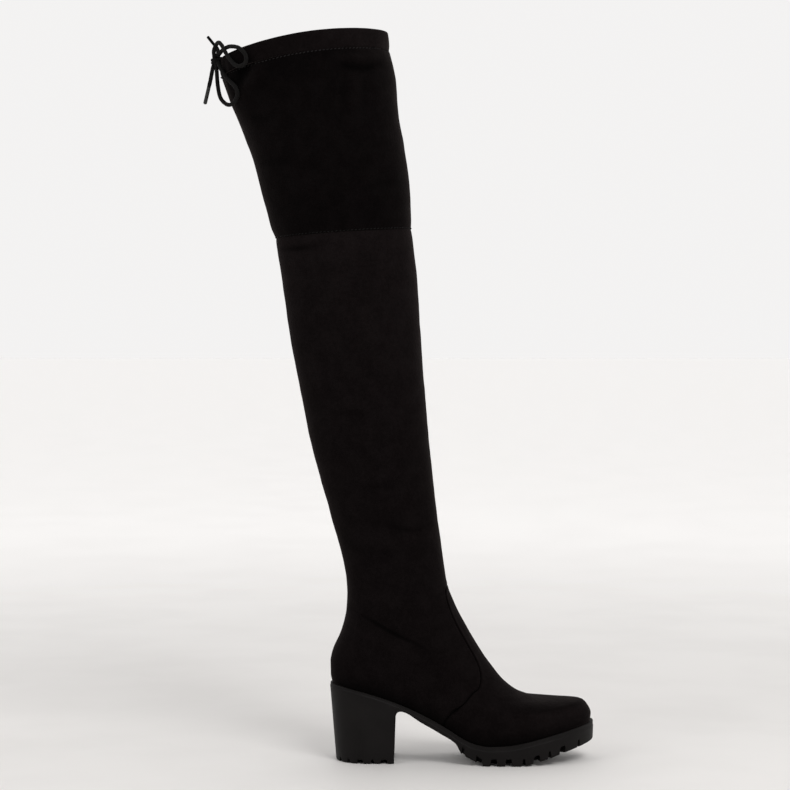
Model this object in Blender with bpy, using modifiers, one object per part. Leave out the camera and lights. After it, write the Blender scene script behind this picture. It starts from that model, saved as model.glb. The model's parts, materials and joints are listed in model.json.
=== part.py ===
"""Over-the-knee stretch boot on a cleated unit sole with a block heel. This is a right boot.

Units are metres. +X points to the toe, +Y to the inner side of the leg and +Z up. The origin lies on the
floor under the middle of the heel.
"""

import math
from collections import namedtuple

import bmesh
import bpy
from mathutils import Matrix, Vector

# Driving dimensions
WALL = 0.0018  # suede, backing and lining together
GAP = 0.0003  # clearance between pieces that meet
SOLE_BACK_X = -0.0355
SOLE_FRONT_X = 0.2140
RIM_OVERHANG = 0.0024  # how far the sole's rim stands out past the upper
BAND_DEPTH = 0.0042  # recessed band along the top of the sole's side
BAND_RECESS = 0.0006
TREAD_BEVEL = 0.0014  # softened bottom edge of heel and forefoot
HEEL_BACK_X = -0.0295  # the heel's ground face runs from here
HEEL_FRONT_X = 0.0250  # to here
BREAST_X = 0.0261  # rim station where the heel ends and its front face starts
HEEL_TAPER = 0.92  # share of the seat's width that reaches the floor
TREAD_TAPER = 0.965  # share of the rim's width at the forefoot's tread
TOE_UNDERCUT = 0.0006  # how far the toe's face slopes in towards the tread
TOE_SWING = 0.006  # the toe's tip leans this far to the inner side
INSOLE_THICKNESS = 0.0020
INSOLE_PLAY = 0.0013  # clearance between the insole and the wall round it
RING_POINTS = 28
STEPS_PER_SECTION = 2

# Bottom edge of the upper and top of the sole, from the heel's back to the toe's tip
Height = namedtuple("Height", "x z")
FEATHER_LINE = (
    Height(-0.0355, 0.0728),
    Height(-0.0240, 0.0714),
    Height(0.0014, 0.0656),
    Height(0.0275, 0.0567),
    Height(0.0508, 0.0466),
    Height(0.0750, 0.0336),
    Height(0.0922, 0.0233),
    Height(0.1020, 0.0198),
    Height(0.1130, 0.0182),
    Height(0.1280, 0.0188),
    Height(0.1450, 0.0214),
    Height(0.1660, 0.0263),
    Height(0.1870, 0.0310),
    Height(0.2140, 0.0362),
)

# Underside from the heel's breast along the arch to the toe
TREAD_LINE = (
    Height(0.0266, 0.0450),
    Height(0.0282, 0.0482),
    Height(0.0310, 0.0490),
    Height(0.0508, 0.0386),
    Height(0.0680, 0.0290),
    Height(0.0822, 0.0202),
    Height(0.0880, 0.0108),
    Height(0.0970, 0.0058),
    Height(0.1060, 0.0005),
    Height(0.1080, 0.0000),
    Height(0.1460, 0.0000),
    Height(0.1480, 0.0004),
    Height(0.1660, 0.0054),
    Height(0.1850, 0.0112),
    Height(0.2140, 0.0187),
)

# Half widths of the last's bottom outline, either side of its own middle line
Outline = namedtuple("Outline", "x lateral medial")
LAST_OUTLINE = (
    Outline(-0.0355, 0.0280, 0.0280),
    Outline(0.0000, 0.0284, 0.0282),
    Outline(0.0300, 0.0286, 0.0275),
    Outline(0.0600, 0.0308, 0.0280),
    Outline(0.0900, 0.0362, 0.0318),
    Outline(0.1200, 0.0412, 0.0375),
    Outline(0.1400, 0.0420, 0.0400),
    Outline(0.1600, 0.0410, 0.0404),
    Outline(0.1850, 0.0375, 0.0380),
    Outline(0.2140, 0.0335, 0.0345),
)

# Sections of foot and leg. Each runs from the back seam to the front line. back_round and front_round are
# the shares of its length that the rounded ends take. leg_share goes from the last's outline (0) to a leg's
# oval (1), sag is how much of the feather line's hollow the section follows, and rise lifts its middle.
Section = namedtuple(
    "Section",
    "back_x back_z front_x front_z half_width swell back_round front_round leg_share sag rise",
)
UPPER_SECTIONS = (
    Section(-0.0330, 0.0726, 0.2108, 0.0354, 0.0400, 1.00, 0.125, 0.200, 0.00, 1.00, 0.0),
    Section(-0.0342, 0.0798, 0.2111, 0.0424, 0.0400, 1.03, 0.130, 0.205, 0.00, 0.97, 0.0),
    Section(-0.0344, 0.0866, 0.2082, 0.0496, 0.0400, 1.04, 0.140, 0.225, 0.00, 0.93, 0.0),
    Section(-0.0345, 0.0926, 0.2016, 0.0552, 0.0390, 1.04, 0.150, 0.265, 0.00, 0.85, 0.0),
    Section(-0.0336, 0.0980, 0.1840, 0.0564, 0.0385, 1.03, 0.165, 0.345, 0.05, 0.72, 0.0),
    Section(-0.0320, 0.1040, 0.1629, 0.0573, 0.0380, 1.02, 0.185, 0.420, 0.15, 0.53, 0.0),
    Section(-0.0298, 0.1095, 0.1454, 0.0620, 0.0380, 1.01, 0.210, 0.445, 0.30, 0.34, 0.0),
    Section(-0.0268, 0.1160, 0.1284, 0.0740, 0.0378, 1.00, 0.250, 0.470, 0.45, 0.16, 0.0),
    Section(-0.0239, 0.1230, 0.1142, 0.0916, 0.0374, 1.00, 0.310, 0.490, 0.62, 0.05, 0.0),
    Section(-0.0212, 0.1320, 0.1014, 0.1108, 0.0366, 1.00, 0.390, 0.500, 0.78, 0.00, 0.0),
    Section(-0.0192, 0.1435, 0.0904, 0.1300, 0.0356, 1.00, 0.450, 0.500, 0.92, 0.00, 0.0),
    Section(-0.0184, 0.1560, 0.0804, 0.1500, 0.0348, 1.00, 0.500, 0.500, 1.00, 0.00, 0.0),
    Section(-0.0190, 0.1690, 0.0742, 0.1680, 0.0345, 1.00, 0.500, 0.500, 1.00, 0.00, 0.0),
    Section(-0.0219, 0.1860, 0.0714, 0.1870, 0.0352, 1.00, 0.500, 0.500, 1.00, 0.00, 0.0),
    Section(-0.0294, 0.2140, 0.0672, 0.2170, 0.0372, 1.00, 0.500, 0.500, 1.00, 0.00, 0.0),
    Section(-0.0400, 0.2520, 0.0624, 0.2560, 0.0404, 1.00, 0.500, 0.500, 1.00, 0.00, 0.0),
    Section(-0.0530, 0.3000, 0.0572, 0.3060, 0.0436, 1.00, 0.500, 0.500, 1.00, 0.00, 0.0),
    Section(-0.0629, 0.3500, 0.0529, 0.3572, 0.0460, 1.00, 0.500, 0.500, 1.00, 0.00, 0.0),
    Section(-0.0724, 0.4000, 0.0492, 0.4080, 0.0480, 1.00, 0.500, 0.500, 1.00, 0.00, 0.0),
    Section(-0.0792, 0.4480, 0.0460, 0.4562, 0.0495, 1.00, 0.500, 0.500, 1.00, 0.00, 0.0),
    Section(-0.0847, 0.4840, 0.0418, 0.4924, 0.0506, 1.00, 0.500, 0.500, 1.00, 0.00, 0.0),
    Section(-0.0850, 0.4902, 0.0406, 0.4986, 0.0498, 1.00, 0.500, 0.500, 1.00, 0.00, 0.0),
)
THIGH_SECTIONS = (
    Section(-0.0850, 0.4905, 0.0406, 0.4989, 0.0498, 1.00, 0.500, 0.500, 1.00, 0.00, 0.0),
    Section(-0.0890, 0.4985, 0.0408, 0.5069, 0.0520, 1.00, 0.500, 0.500, 1.00, 0.00, 0.0),
    Section(-0.0974, 0.5290, 0.0395, 0.5380, 0.0545, 1.00, 0.500, 0.500, 1.00, 0.00, 0.0),
    Section(-0.1064, 0.5630, 0.0347, 0.5740, 0.0570, 1.00, 0.500, 0.500, 1.00, 0.00, 0.001),
    Section(-0.1176, 0.5930, 0.0289, 0.6070, 0.0585, 1.00, 0.500, 0.500, 1.00, 0.00, 0.003),
    Section(-0.1280, 0.6190, 0.0262, 0.6392, 0.0588, 1.00, 0.500, 0.500, 1.00, 0.00, 0.004),
    Section(-0.1346, 0.6388, 0.0206, 0.6637, 0.0578, 1.00, 0.500, 0.500, 1.00, 0.00, 0.005),
    Section(-0.1350, 0.6410, 0.0196, 0.6661, 0.0572, 1.00, 0.500, 0.500, 1.00, 0.00, 0.005),
    Section(-0.1368, 0.6450, 0.0202, 0.6704, 0.0580, 1.00, 0.500, 0.500, 1.00, 0.00, 0.005),
    Section(-0.1376, 0.6520, 0.0199, 0.6770, 0.0580, 1.00, 0.500, 0.500, 1.00, 0.00, 0.005),
    Section(-0.1370, 0.6588, 0.0190, 0.6832, 0.0572, 1.00, 0.500, 0.500, 1.00, 0.00, 0.005),
)

# Cleats: notches along the edge of the tread
Notch = namedtuple("Notch", "x width")
WIDE_NOTCH = 0.0052
NARROW_NOTCH = 0.0022
FOREFOOT_NOTCHES = (
    Notch(0.0895, NARROW_NOTCH),
    Notch(0.1040, WIDE_NOTCH),
    Notch(0.1176, WIDE_NOTCH),
    Notch(0.1314, WIDE_NOTCH),
    Notch(0.1454, NARROW_NOTCH),
    Notch(0.1580, WIDE_NOTCH),
    Notch(0.1696, NARROW_NOTCH),
    Notch(0.1825, WIDE_NOTCH),
    Notch(0.1980, NARROW_NOTCH),
)
HEEL_NOTCHES = (
    Notch(-0.0170, NARROW_NOTCH),
    Notch(-0.0068, WIDE_NOTCH),
    Notch(0.0046, NARROW_NOTCH),
    Notch(0.0158, WIDE_NOTCH),
)
FOREFOOT_NOTCH_DEPTH = 0.0056
HEEL_NOTCH_DEPTH = 0.0024
NOTCH_REACH = 0.0150  # how far a wide notch runs in from the edge
NARROW_REACH = 0.0085
NOTCH_OUTSIDE = 0.0040  # how far its cutter starts outside the edge
TREAD_GROOVES = (0.1108, 0.1245, 0.1384, 0.1517, 0.1640)  # cross grooves down the middle of the forefoot
GROOVE_WIDTH = 0.0036
GROOVE_LENGTH = 0.0300
GROOVE_DEPTH = 0.0030

# Zip on the inner side, seen from the side
ZIP_ROUTE = (
    Height(0.0462, 0.0590),
    Height(0.0410, 0.0710),
    Height(0.0310, 0.0950),
    Height(0.0205, 0.1300),
    Height(0.0140, 0.1700),
    Height(0.0115, 0.2150),
    Height(0.0112, 0.2600),
    Height(0.0122, 0.3030),
)
ZIP_POINTS = 24
ZIP_SLOT_HALF = 0.0050
ZIP_CHAIN_HALF = 0.0024
TAPE_SINK = 0.0006  # the tape's face lies this far below the suede
TAPE_THICKNESS = 0.0010
CHAIN_PROUD = 0.0009  # the coil stands this far above the suede
SLIDER_Z = 0.2960
SLIDER_LENGTH = 0.0105
SLIDER_WIDTH = 0.0072
SLIDER_THICKNESS = 0.0022
BAIL_RADIUS = 0.0009
BAIL_RISE = 0.0030  # top of the slider to the middle of the bail's bar
BAIL_SPAN = 0.0056
PULL_LENGTH = 0.0250
PULL_WIDTH = 0.0094
PULL_RADIUS = 0.0009
PULL_BEND = 0.0034  # radius of the ring's corners at the slider

# Drawstring bow at the back of the collar
CORD_RADIUS = 0.0019
UPPER_AGLET_RADIUS = 0.0011
LOWER_AGLET_RADIUS = 0.0018
CORD_SPACING = 0.0062  # distance between the points of a cord's line
KNOT_CENTRE = (-0.1416, -0.0058, 0.6562)
KNOT_HALF_SIZES = (0.0044, 0.0050, 0.0042)
SIDE_LOOP_ROUTE = (
    (-0.1429, -0.0080, 0.6605),
    (-0.1428, -0.0100, 0.6660),
    (-0.1390, -0.0152, 0.6717),
    (-0.1348, -0.0232, 0.6687),
    (-0.1281, -0.0322, 0.6568),
    (-0.1196, -0.0404, 0.6474),
    (-0.1116, -0.0460, 0.6486),
    (-0.1108, -0.0466, 0.6562),
    (-0.1170, -0.0426, 0.6632),
    (-0.1256, -0.0318, 0.6662),
    (-0.1322, -0.0196, 0.6658),
    (-0.1370, -0.0112, 0.6630),
    (-0.1392, -0.0070, 0.6607),
)
HANGING_LOOP_ROUTE = (
    (-0.1408, -0.0084, 0.6518),
    (-0.1403, -0.0100, 0.6450),
    (-0.1392, -0.0112, 0.6320),
    (-0.1364, -0.0138, 0.6206),
    (-0.1300, -0.0184, 0.6142),
    (-0.1239, -0.0248, 0.6148),
    (-0.1194, -0.0332, 0.6210),
    (-0.1210, -0.0336, 0.6282),
    (-0.1284, -0.0262, 0.6364),
    (-0.1344, -0.0188, 0.6446),
    (-0.1382, -0.0112, 0.6522),
)
UPPER_END_ROUTE = (
    (-0.1408, -0.0026, 0.6602),
    (-0.1398, -0.0008, 0.6640),
    (-0.1404, 0.0000, 0.6676),
    (-0.1424, 0.0004, 0.6706),
)
UPPER_AGLET_TIP = (-0.1504, 0.0016, 0.6806)
LOWER_END_ROUTE = (
    (-0.1438, -0.0052, 0.6520),
    (-0.1450, -0.0066, 0.6460),
    (-0.1464, -0.0070, 0.6384),
    (-0.1479, -0.0074, 0.6318),
)
LOWER_AGLET_TIP = (-0.1518, -0.0084, 0.6148)

# Colours, roughness and metallic value of each material
Finish = namedtuple("Finish", "colour roughness metallic")
SUEDE = Finish((0.012, 0.010, 0.011), 0.95, 0.0)
SOLE_RUBBER = Finish((0.020, 0.019, 0.018), 0.62, 0.0)
INSOLE_CLOTH = Finish((0.030, 0.028, 0.027), 0.90, 0.0)
ZIP_TAPE_CLOTH = Finish((0.012, 0.012, 0.013), 0.85, 0.0)
ZIP_METAL = Finish((0.300, 0.300, 0.310), 0.30, 1.0)
DRAWSTRING = Finish((0.016, 0.015, 0.015), 0.85, 0.0)
AGLET_PLASTIC = Finish((0.090, 0.090, 0.090), 0.35, 0.0)


# Curves and interpolation


def lerp(start, end, share):
    return start + (end - start) * share


def smooth_through(stops):
    """A function that runs smoothly through (at, value) stops and never past them."""
    ats = [stop[0] for stop in stops]
    values = [stop[1] for stop in stops]
    spans = [b - a for a, b in zip(ats, ats[1:])]
    slopes = [(b - a) / span for a, b, span in zip(values, values[1:], spans)]
    bends = [slopes[0]]
    for left, right in zip(slopes, slopes[1:]):
        bends.append(0.0 if left * right <= 0 else 2 * left * right / (left + right))
    bends.append(slopes[-1])

    def read(at):
        at = min(max(at, ats[0]), ats[-1])
        index = max(i for i in range(len(spans)) if ats[i] <= at)
        share = (at - ats[index]) / spans[index]
        rest = 1 - share
        pull = spans[index] * share * rest
        level = values[index] * rest * rest * (1 + 2 * share) + values[index + 1] * share * share * (1 + 2 * rest)
        return level + pull * (bends[index] * rest - bends[index + 1] * share)

    return read


def route_points(route, spacing):
    """Evenly spaced points on the smooth curve through a route's own points."""
    stops = [Vector(point) for point in route]
    lengths = [0.0]
    for start, end in zip(stops, stops[1:]):
        lengths.append(lengths[-1] + (end - start).length)
    ends = [2 * stops[0] - stops[1], *stops, 2 * stops[-1] - stops[-2]]
    count = max(2, round(lengths[-1] / spacing))
    points = []
    for step in range(count + 1):
        at = lengths[-1] * step / count
        index = min(len(stops) - 2, max(i for i in range(len(stops)) if lengths[i] <= at + 1e-9))
        share = (at - lengths[index]) / (lengths[index + 1] - lengths[index])
        before, start, end, after = ends[index : index + 4]
        points.append(
            start
            + 0.5 * share * (end - before)
            + share**2 * (before - 2.5 * start + 2 * end - 0.5 * after)
            + share**3 * (1.5 * (start - end) + 0.5 * (after - before))
        )
    return points


def quarter_round(share):
    """Height of a quarter circle of radius 1 at this share of its run."""
    return math.sqrt(1 - (1 - min(max(share, 0.0), 1.0)) ** 2)


# Form of the last and the leg

feather_height = smooth_through(FEATHER_LINE)
tread_height = smooth_through(TREAD_LINE)
lateral_width = smooth_through([(stop.x, stop.lateral) for stop in LAST_OUTLINE])
medial_width = smooth_through([(stop.x, stop.medial) for stop in LAST_OUTLINE])
toe_swing = smooth_through([(0.080, 0.0), (0.150, 0.35 * TOE_SWING), (SOLE_FRONT_X, TOE_SWING)])
LATERAL, MEDIAL = -1, 1


def last_width(x, side):
    return lateral_width(x) if side == LATERAL else medial_width(x)


def feather_hollow(along):
    """How far the feather line hangs under the straight line between the first section's ends."""
    foot = UPPER_SECTIONS[0]
    return feather_height(lerp(foot.back_x, foot.front_x, along)) - lerp(foot.back_z, foot.front_z, along)


def section_reader(sections):
    """A function that gives the section at any level, counted in rows of the table."""
    columns = [smooth_through(list(enumerate(column))) for column in zip(*sections)]
    return lambda level: Section(*(read(level) for read in columns))


def wall_point(section, along, side, proud=0.0):
    """A point of the boot's outer face, at a share of the way from the back seam to the front line."""
    x = lerp(section.back_x - proud, section.front_x + proud, along)
    height = lerp(section.back_z, section.front_z, along)
    height += section.sag * feather_hollow(along) + section.rise * math.sin(math.pi * along)
    width = lerp(last_width(x, side) * section.swell, section.half_width, section.leg_share) + proud
    ends = quarter_round(along / section.back_round) * quarter_round((1 - along) / section.front_round)
    middle = toe_swing(x) * (1 - section.leg_share)
    return Vector((x, side * width * ends + middle, height))


def ring(section, proud=0.0):
    """Points round the wall: from the back along the outer side to the front, and home along the inner side."""
    points = []
    for step in range(RING_POINTS):
        turn = 2 * math.pi * step / RING_POINTS
        side = LATERAL if turn < math.pi else MEDIAL
        points.append(wall_point(section, (1 - math.cos(turn)) / 2, side, proud))
    return points


def wall_rings(sections, proud=0.0):
    read = section_reader(sections)
    count = (len(sections) - 1) * STEPS_PER_SECTION
    return [ring(read(step / STEPS_PER_SECTION), proud) for step in range(count + 1)]


# Making objects


def material(name, finish):
    made = bpy.data.materials.new(name)
    made.use_nodes = True
    shader = made.node_tree.nodes["Principled BSDF"]
    shader.inputs["Base Color"].default_value = (*finish.colour, 1.0)
    shader.inputs["Roughness"].default_value = finish.roughness
    shader.inputs["Metallic"].default_value = finish.metallic
    return made


def place(name, data, collection, finish=None):
    """A new object in its collection, with its material; a helper that only cuts has none."""
    made = bpy.data.objects.new(name, data)
    collection.objects.link(made)
    if finish:
        data.materials.append(finish)
    else:
        made.hide_render = True
        made.display_type = "WIRE"
    return made


def loft(name, rings, capped):
    """A tube of quads through rings of equal length, open at its ends or closed with flat caps."""
    work = bmesh.new()
    grid = [[work.verts.new(point) for point in points] for points in rings]
    for low, high in zip(grid, grid[1:]):
        for near in range(len(low)):
            far = (near + 1) % len(low)
            work.faces.new((low[near], low[far], high[far], high[near]))
    if capped:
        work.faces.new(list(reversed(grid[0])))
        work.faces.new(grid[-1])
    bmesh.ops.remove_doubles(work, verts=work.verts, dist=1e-6)
    return finished_mesh(name, work)


def finished_mesh(name, work):
    bmesh.ops.recalc_face_normals(work, faces=work.faces)
    mesh = bpy.data.meshes.new(name)
    work.to_mesh(mesh)
    work.free()
    mesh.shade_smooth()
    mesh.set_sharp_from_angle(angle=math.radians(40))
    return mesh


def boolean(target, tool, operation):
    step = target.modifiers.new(operation.title() + "_" + tool.name, "BOOLEAN")
    step.operation = operation
    step.object = tool
    return step


def shell(target, thickness):
    step = target.modifiers.new("Wall", "SOLIDIFY")
    step.thickness = thickness
    step.offset = -1.0
    step.use_even_offset = True
    return step


def box_at(work, centre, direction, sizes):
    """Adds a box to a mesh under work, its length along a level direction."""
    turn = Matrix.Rotation(math.atan2(direction.y, direction.x), 4, "Z")
    matrix = Matrix.Translation(centre) @ turn @ Matrix.Diagonal((*sizes, 1.0))
    bmesh.ops.create_cube(work, size=1.0, matrix=matrix)


# Sole unit: heel, shank and forefoot in one moulding


def sole_edge(share, side):
    """Rim point and tread point of the sole's side at a share of its length."""
    rim_x = lerp(SOLE_BACK_X, SOLE_FRONT_X, share)
    ends = quarter_round(share / 0.130) * quarter_round((1 - share) / 0.205)
    width = side * (last_width(rim_x, side) + RIM_OVERHANG) * ends
    middle = toe_swing(rim_x)
    rim = Vector((rim_x, width + middle, feather_height(rim_x)))
    if rim_x < BREAST_X + 1e-6:
        heel_share = (rim_x - SOLE_BACK_X) / (BREAST_X - SOLE_BACK_X)
        tread = Vector((lerp(HEEL_BACK_X, HEEL_FRONT_X, heel_share), width * HEEL_TAPER, 0.0))
    else:
        tread = Vector((rim_x - TOE_UNDERCUT * share**8, width * TREAD_TAPER + middle, tread_height(rim_x)))
    return rim, tread


def sole_side(share, side):
    """Points down the sole's side: recessed band, its ledge, the side and the softened tread edge."""
    rim, tread = sole_edge(share, side)
    middle = Vector((lerp(rim.x, 0.09, 0.02), toe_swing(rim.x), 0.0))
    inward = Vector((middle.x - rim.x, middle.y - rim.y, 0.0))
    inward = inward.normalized() if inward.length > 1e-9 else Vector((0.0, 0.0, 0.0))
    fall = rim.z - tread.z
    band = rim + inward * BAND_RECESS
    at_ledge = rim.lerp(tread, BAND_DEPTH / fall)
    at_bevel = rim.lerp(tread, 1 - TREAD_BEVEL / fall)
    return [
        band,
        at_ledge + inward * BAND_RECESS,
        rim.lerp(tread, (BAND_DEPTH + BAND_RECESS) / fall),
        at_bevel,
        tread + inward * TREAD_BEVEL,
    ]


def sole_shares():
    """Stations along the sole: close together where its ends are round and at the heel's breast."""
    length = SOLE_FRONT_X - SOLE_BACK_X
    breast = [(x - SOLE_BACK_X) / length for x in (BREAST_X, *(stop.x for stop in TREAD_LINE[:3]))]
    heel = [breast[0] * (1 - math.cos(math.pi / 2 * step / 9)) for step in range(9)]
    waist = [(stop.x - SOLE_BACK_X) / length for stop in TREAD_LINE[3:12]]
    middle = [lerp(waist[6], waist[7], step / 5) for step in range(1, 5)]
    toe = [lerp(waist[-1], 1.0, math.sin(math.pi / 2 * step / 12)) for step in range(1, 13)]
    return sorted(set([*heel, *breast, *waist, *middle, *toe]))


def sole_mesh():
    rings = []
    for share in sole_shares():
        outer = sole_side(share, LATERAL)
        inner = sole_side(share, MEDIAL)
        rings.append([*outer, *reversed(inner)])
    return loft("sole_unit", rings, capped=False)


def notch_cutter(collection):
    """One mesh of boxes: the notches along both edges of heel and forefoot, and the grooves between them."""
    work = bmesh.new()
    length = SOLE_FRONT_X - SOLE_BACK_X
    step = 0.004
    for notches, depth in ((FOREFOOT_NOTCHES, FOREFOOT_NOTCH_DEPTH), (HEEL_NOTCHES, HEEL_NOTCH_DEPTH)):
        for notch in notches:
            share = (notch.x - SOLE_BACK_X) / length
            for side in (LATERAL, MEDIAL):
                tread = sole_edge(share, side)[1]
                along = sole_edge(share + step, side)[1] - sole_edge(share - step, side)[1]
                outward = Vector((side * -along.y, side * along.x, 0.0)).normalized()
                reach = NOTCH_REACH if notch.width == WIDE_NOTCH else NARROW_REACH
                centre = tread + outward * (NOTCH_OUTSIDE - reach) / 2
                height = tread.z + depth + 0.002
                centre.z = height / 2 - 0.002
                box_at(work, centre, outward, (reach + NOTCH_OUTSIDE, notch.width, height))
    for x in TREAD_GROOVES:
        height = tread_height(x) + GROOVE_DEPTH + 0.002
        centre = Vector((x, toe_swing(x), height / 2 - 0.002))
        box_at(work, centre, Vector((1.0, 0.0, 0.0)), (GROOVE_WIDTH, GROOVE_LENGTH, height))
    return place("notch_cutter", finished_mesh("notch_cutter", work), collection)


def make_sole(parts, cutters):
    sole = place("sole_unit", sole_mesh(), parts, material("sole_rubber", SOLE_RUBBER))
    boolean(sole, notch_cutter(cutters), "DIFFERENCE")
    return sole


def make_insole(parts):
    """A board on the sole's top, just inside the wall of the upper, with the sole's own stations."""
    inset = WALL + INSOLE_PLAY
    foot = UPPER_SECTIONS[0]
    back, front = foot.back_x + inset, foot.front_x - inset
    stations = [lerp(SOLE_BACK_X, SOLE_FRONT_X, share) for share in sole_shares()]
    rings = []
    for x in [back, *(x for x in stations if back + 0.001 < x < front - 0.001), front]:
        outer, inner = (wall_point(foot, (x - back) / (front - back), side, -inset) for side in (LATERAL, MEDIAL))
        low = feather_height(x) + GAP
        high = low + INSOLE_THICKNESS
        rings.append([(x, outer.y, high), (x, outer.y, low), (x, inner.y, low), (x, inner.y, high)])
    return place("insole", loft("insole", rings, capped=False), parts, material("insole_cloth", INSOLE_CLOTH))


# Upper, thigh panel and zip


def zip_band(name, half_width, ends, collection):
    """A prism over the zip's line on the inner side; ends lengthens it at both ends."""
    line = route_points([(stop.x, 0.0, stop.z) for stop in ZIP_ROUTE], 0.250 / ZIP_POINTS)
    line[0] += (line[0] - line[1]).normalized() * ends
    line[-1] += (line[-1] - line[-2]).normalized() * ends
    rings = []
    for index, point in enumerate(line):
        along = line[min(index + 1, len(line) - 1)] - line[max(index - 1, 0)]
        across = Vector((along.z, 0.0, -along.x)).normalized() * half_width
        near, far = Vector((0, 0.006, 0)), Vector((0, 0.080, 0))
        rings.append([point - across + near, point + across + near, point + across + far, point - across + far])
    return place(name, loft(name, rings, capped=True), collection)


def make_upper(parts, cutters, suede):
    rings = wall_rings(UPPER_SECTIONS)
    rings[0] = [point + Vector((0, 0, 2 * GAP)) for point in rings[0]]
    upper = place("upper", loft("upper", rings, capped=False), parts, suede)
    shell(upper, WALL)
    boolean(upper, zip_band("zip_slot", ZIP_SLOT_HALF, 0.0, cutters), "DIFFERENCE")
    return upper


def make_thigh_panel(parts, suede):
    panel = place("thigh_panel", loft("thigh_panel", wall_rings(THIGH_SECTIONS), capped=False), parts, suede)
    shell(panel, WALL)
    return panel


def zip_strip(name, proud, thickness, half_width, parts, cutters, finish):
    """A strip of the upper's own form, trimmed to the zip's line."""
    strip = place(name, loft(name, wall_rings(UPPER_SECTIONS, proud), capped=False), parts, finish)
    shell(strip, thickness)
    boolean(strip, zip_band(name + "_trim", half_width, -GAP, cutters), "INTERSECT")
    return strip


def medial_surface(x, z):
    """Point of the upper's inner side at this x and height, and its outward normal there."""
    read = section_reader(UPPER_SECTIONS)

    def at(x, z):
        low, high = 0.0, len(UPPER_SECTIONS) - 1.0
        for _ in range(40):
            level = (low + high) / 2
            section = read(level)
            along = (x - section.back_x) / (section.front_x - section.back_x)
            point = wall_point(section, along, MEDIAL)
            low, high = (level, high) if point.z < z else (low, level)
        return point

    step = 0.002
    forward = at(x + step, z) - at(x - step, z)
    upward = at(x, z + step) - at(x, z - step)
    return at(x, z), upward.cross(forward).normalized()


def slider_frame():
    """Axes of the slider: across the zip, up along it and out from the leg, at the coil's face."""
    centre = zip_x(SLIDER_Z)
    point, outward = medial_surface(centre, SLIDER_Z)
    above = medial_surface(zip_x(SLIDER_Z + 0.004), SLIDER_Z + 0.004)[0]
    upward = (above - point).normalized()
    across = upward.cross(outward).normalized()
    matrix = Matrix((across, upward, across.cross(upward))).transposed().to_4x4()
    matrix.translation = point + outward * (CHAIN_PROUD + GAP)
    return matrix


def zip_x(z):
    return smooth_through([(stop.z, stop.x) for stop in ZIP_ROUTE])(z)


def tube(name, points, radius, collection, finish, cyclic=False, sides=2):
    """A round bar along points."""
    line = bpy.data.curves.new(name, "CURVE")
    line.dimensions = "3D"
    line.bevel_depth = radius
    line.bevel_resolution = sides
    line.use_fill_caps = True
    spline = line.splines.new("POLY")
    spline.points.add(len(points) - 1)
    for slot, point in zip(spline.points, points):
        slot.co = (*point, 1.0)
    spline.use_cyclic_u = cyclic
    return place(name, line, collection, finish)


def as_mesh(curve_object):
    """The same object with its curve turned into a closed mesh, so that it can be joined to others."""
    graph = bpy.context.evaluated_depsgraph_get()
    mesh = bpy.data.meshes.new_from_object(curve_object.evaluated_get(graph))
    work = bmesh.new()
    work.from_mesh(mesh)
    bmesh.ops.remove_doubles(work, verts=work.verts, dist=1e-6)
    work.to_mesh(mesh)
    work.free()
    made = place(curve_object.name + "_solid", mesh, curve_object.users_collection[0])
    made.matrix_world = curve_object.matrix_world
    bpy.data.objects.remove(curve_object)
    return made


def make_slider(parts, cutters, metal):
    """Slider body on the coil, tapered towards its foot, with the bail that carries the pull."""
    frame = slider_frame()
    outline = (
        (-0.5, 0.5),
        (0.5, 0.5),
        (0.5, 0.0),
        (0.34, -0.5),
        (-0.34, -0.5),
        (-0.5, 0.0),
    )
    rings = []
    for lift in (0.0, SLIDER_THICKNESS):
        rings.append([frame @ Vector((x * SLIDER_WIDTH, y * SLIDER_LENGTH, lift)) for x, y in reversed(outline)])
    slider = place("zip_slider", loft("zip_slider", rings, capped=True), parts, metal)
    arch = []
    for step in range(9):
        turn = math.pi * step / 8
        lift = (BAIL_RISE + 2 * BAIL_RADIUS) * math.sin(turn) ** 0.7 + SLIDER_THICKNESS - BAIL_RADIUS
        arch.append(frame @ Vector((0.0, BAIL_SPAN / 2 * math.cos(turn), lift)))
    bail = as_mesh(tube("zip_bail", arch, BAIL_RADIUS, cutters, None))
    boolean(slider, bail, "UNION")
    return slider


def pull_axis():
    """Middle of the bar on which the pull swings, and the bar's direction."""
    frame = slider_frame()
    centre = frame @ Vector((0.0, 0.0, SLIDER_THICKNESS + BAIL_RISE - BAIL_RADIUS - PULL_RADIUS))
    return centre, frame.col[0].to_3d()


def make_pull(parts, metal):
    """A closed wire ring that hangs straight down from the bail."""
    centre, across = pull_axis()
    level = Vector((across.x, across.y, 0.0)).normalized()
    down = Vector((0.0, 0.0, -1.0))
    half, bend = PULL_WIDTH / 2 - PULL_RADIUS, PULL_BEND
    foot = PULL_LENGTH - 2 * PULL_RADIUS - half
    corners = []
    for step in range(5):
        turn = math.pi / 2 * step / 4
        corners.append((half - bend + bend * math.sin(turn), bend - bend * math.cos(turn)))
    for step in range(7):
        turn = math.pi / 2 * step / 6
        corners.append((half * math.cos(turn), foot + half * math.sin(turn)))
    right = [centre + level * x + down * y for x, y in corners]
    left = [centre - level * x + down * y for x, y in reversed(corners[:-1])]
    return tube("zip_pull", right + left, PULL_RADIUS, parts, metal, cyclic=True)


# Drawstring bow


def make_knot(parts, cord):
    work = bmesh.new()
    sizes = Matrix.Diagonal((*KNOT_HALF_SIZES, 1.0))
    bmesh.ops.create_uvsphere(
        work, u_segments=14, v_segments=8, radius=1.0, matrix=Matrix.Translation(KNOT_CENTRE) @ sizes
    )
    return place("bow_knot", finished_mesh("bow_knot", work), parts, cord)


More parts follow.
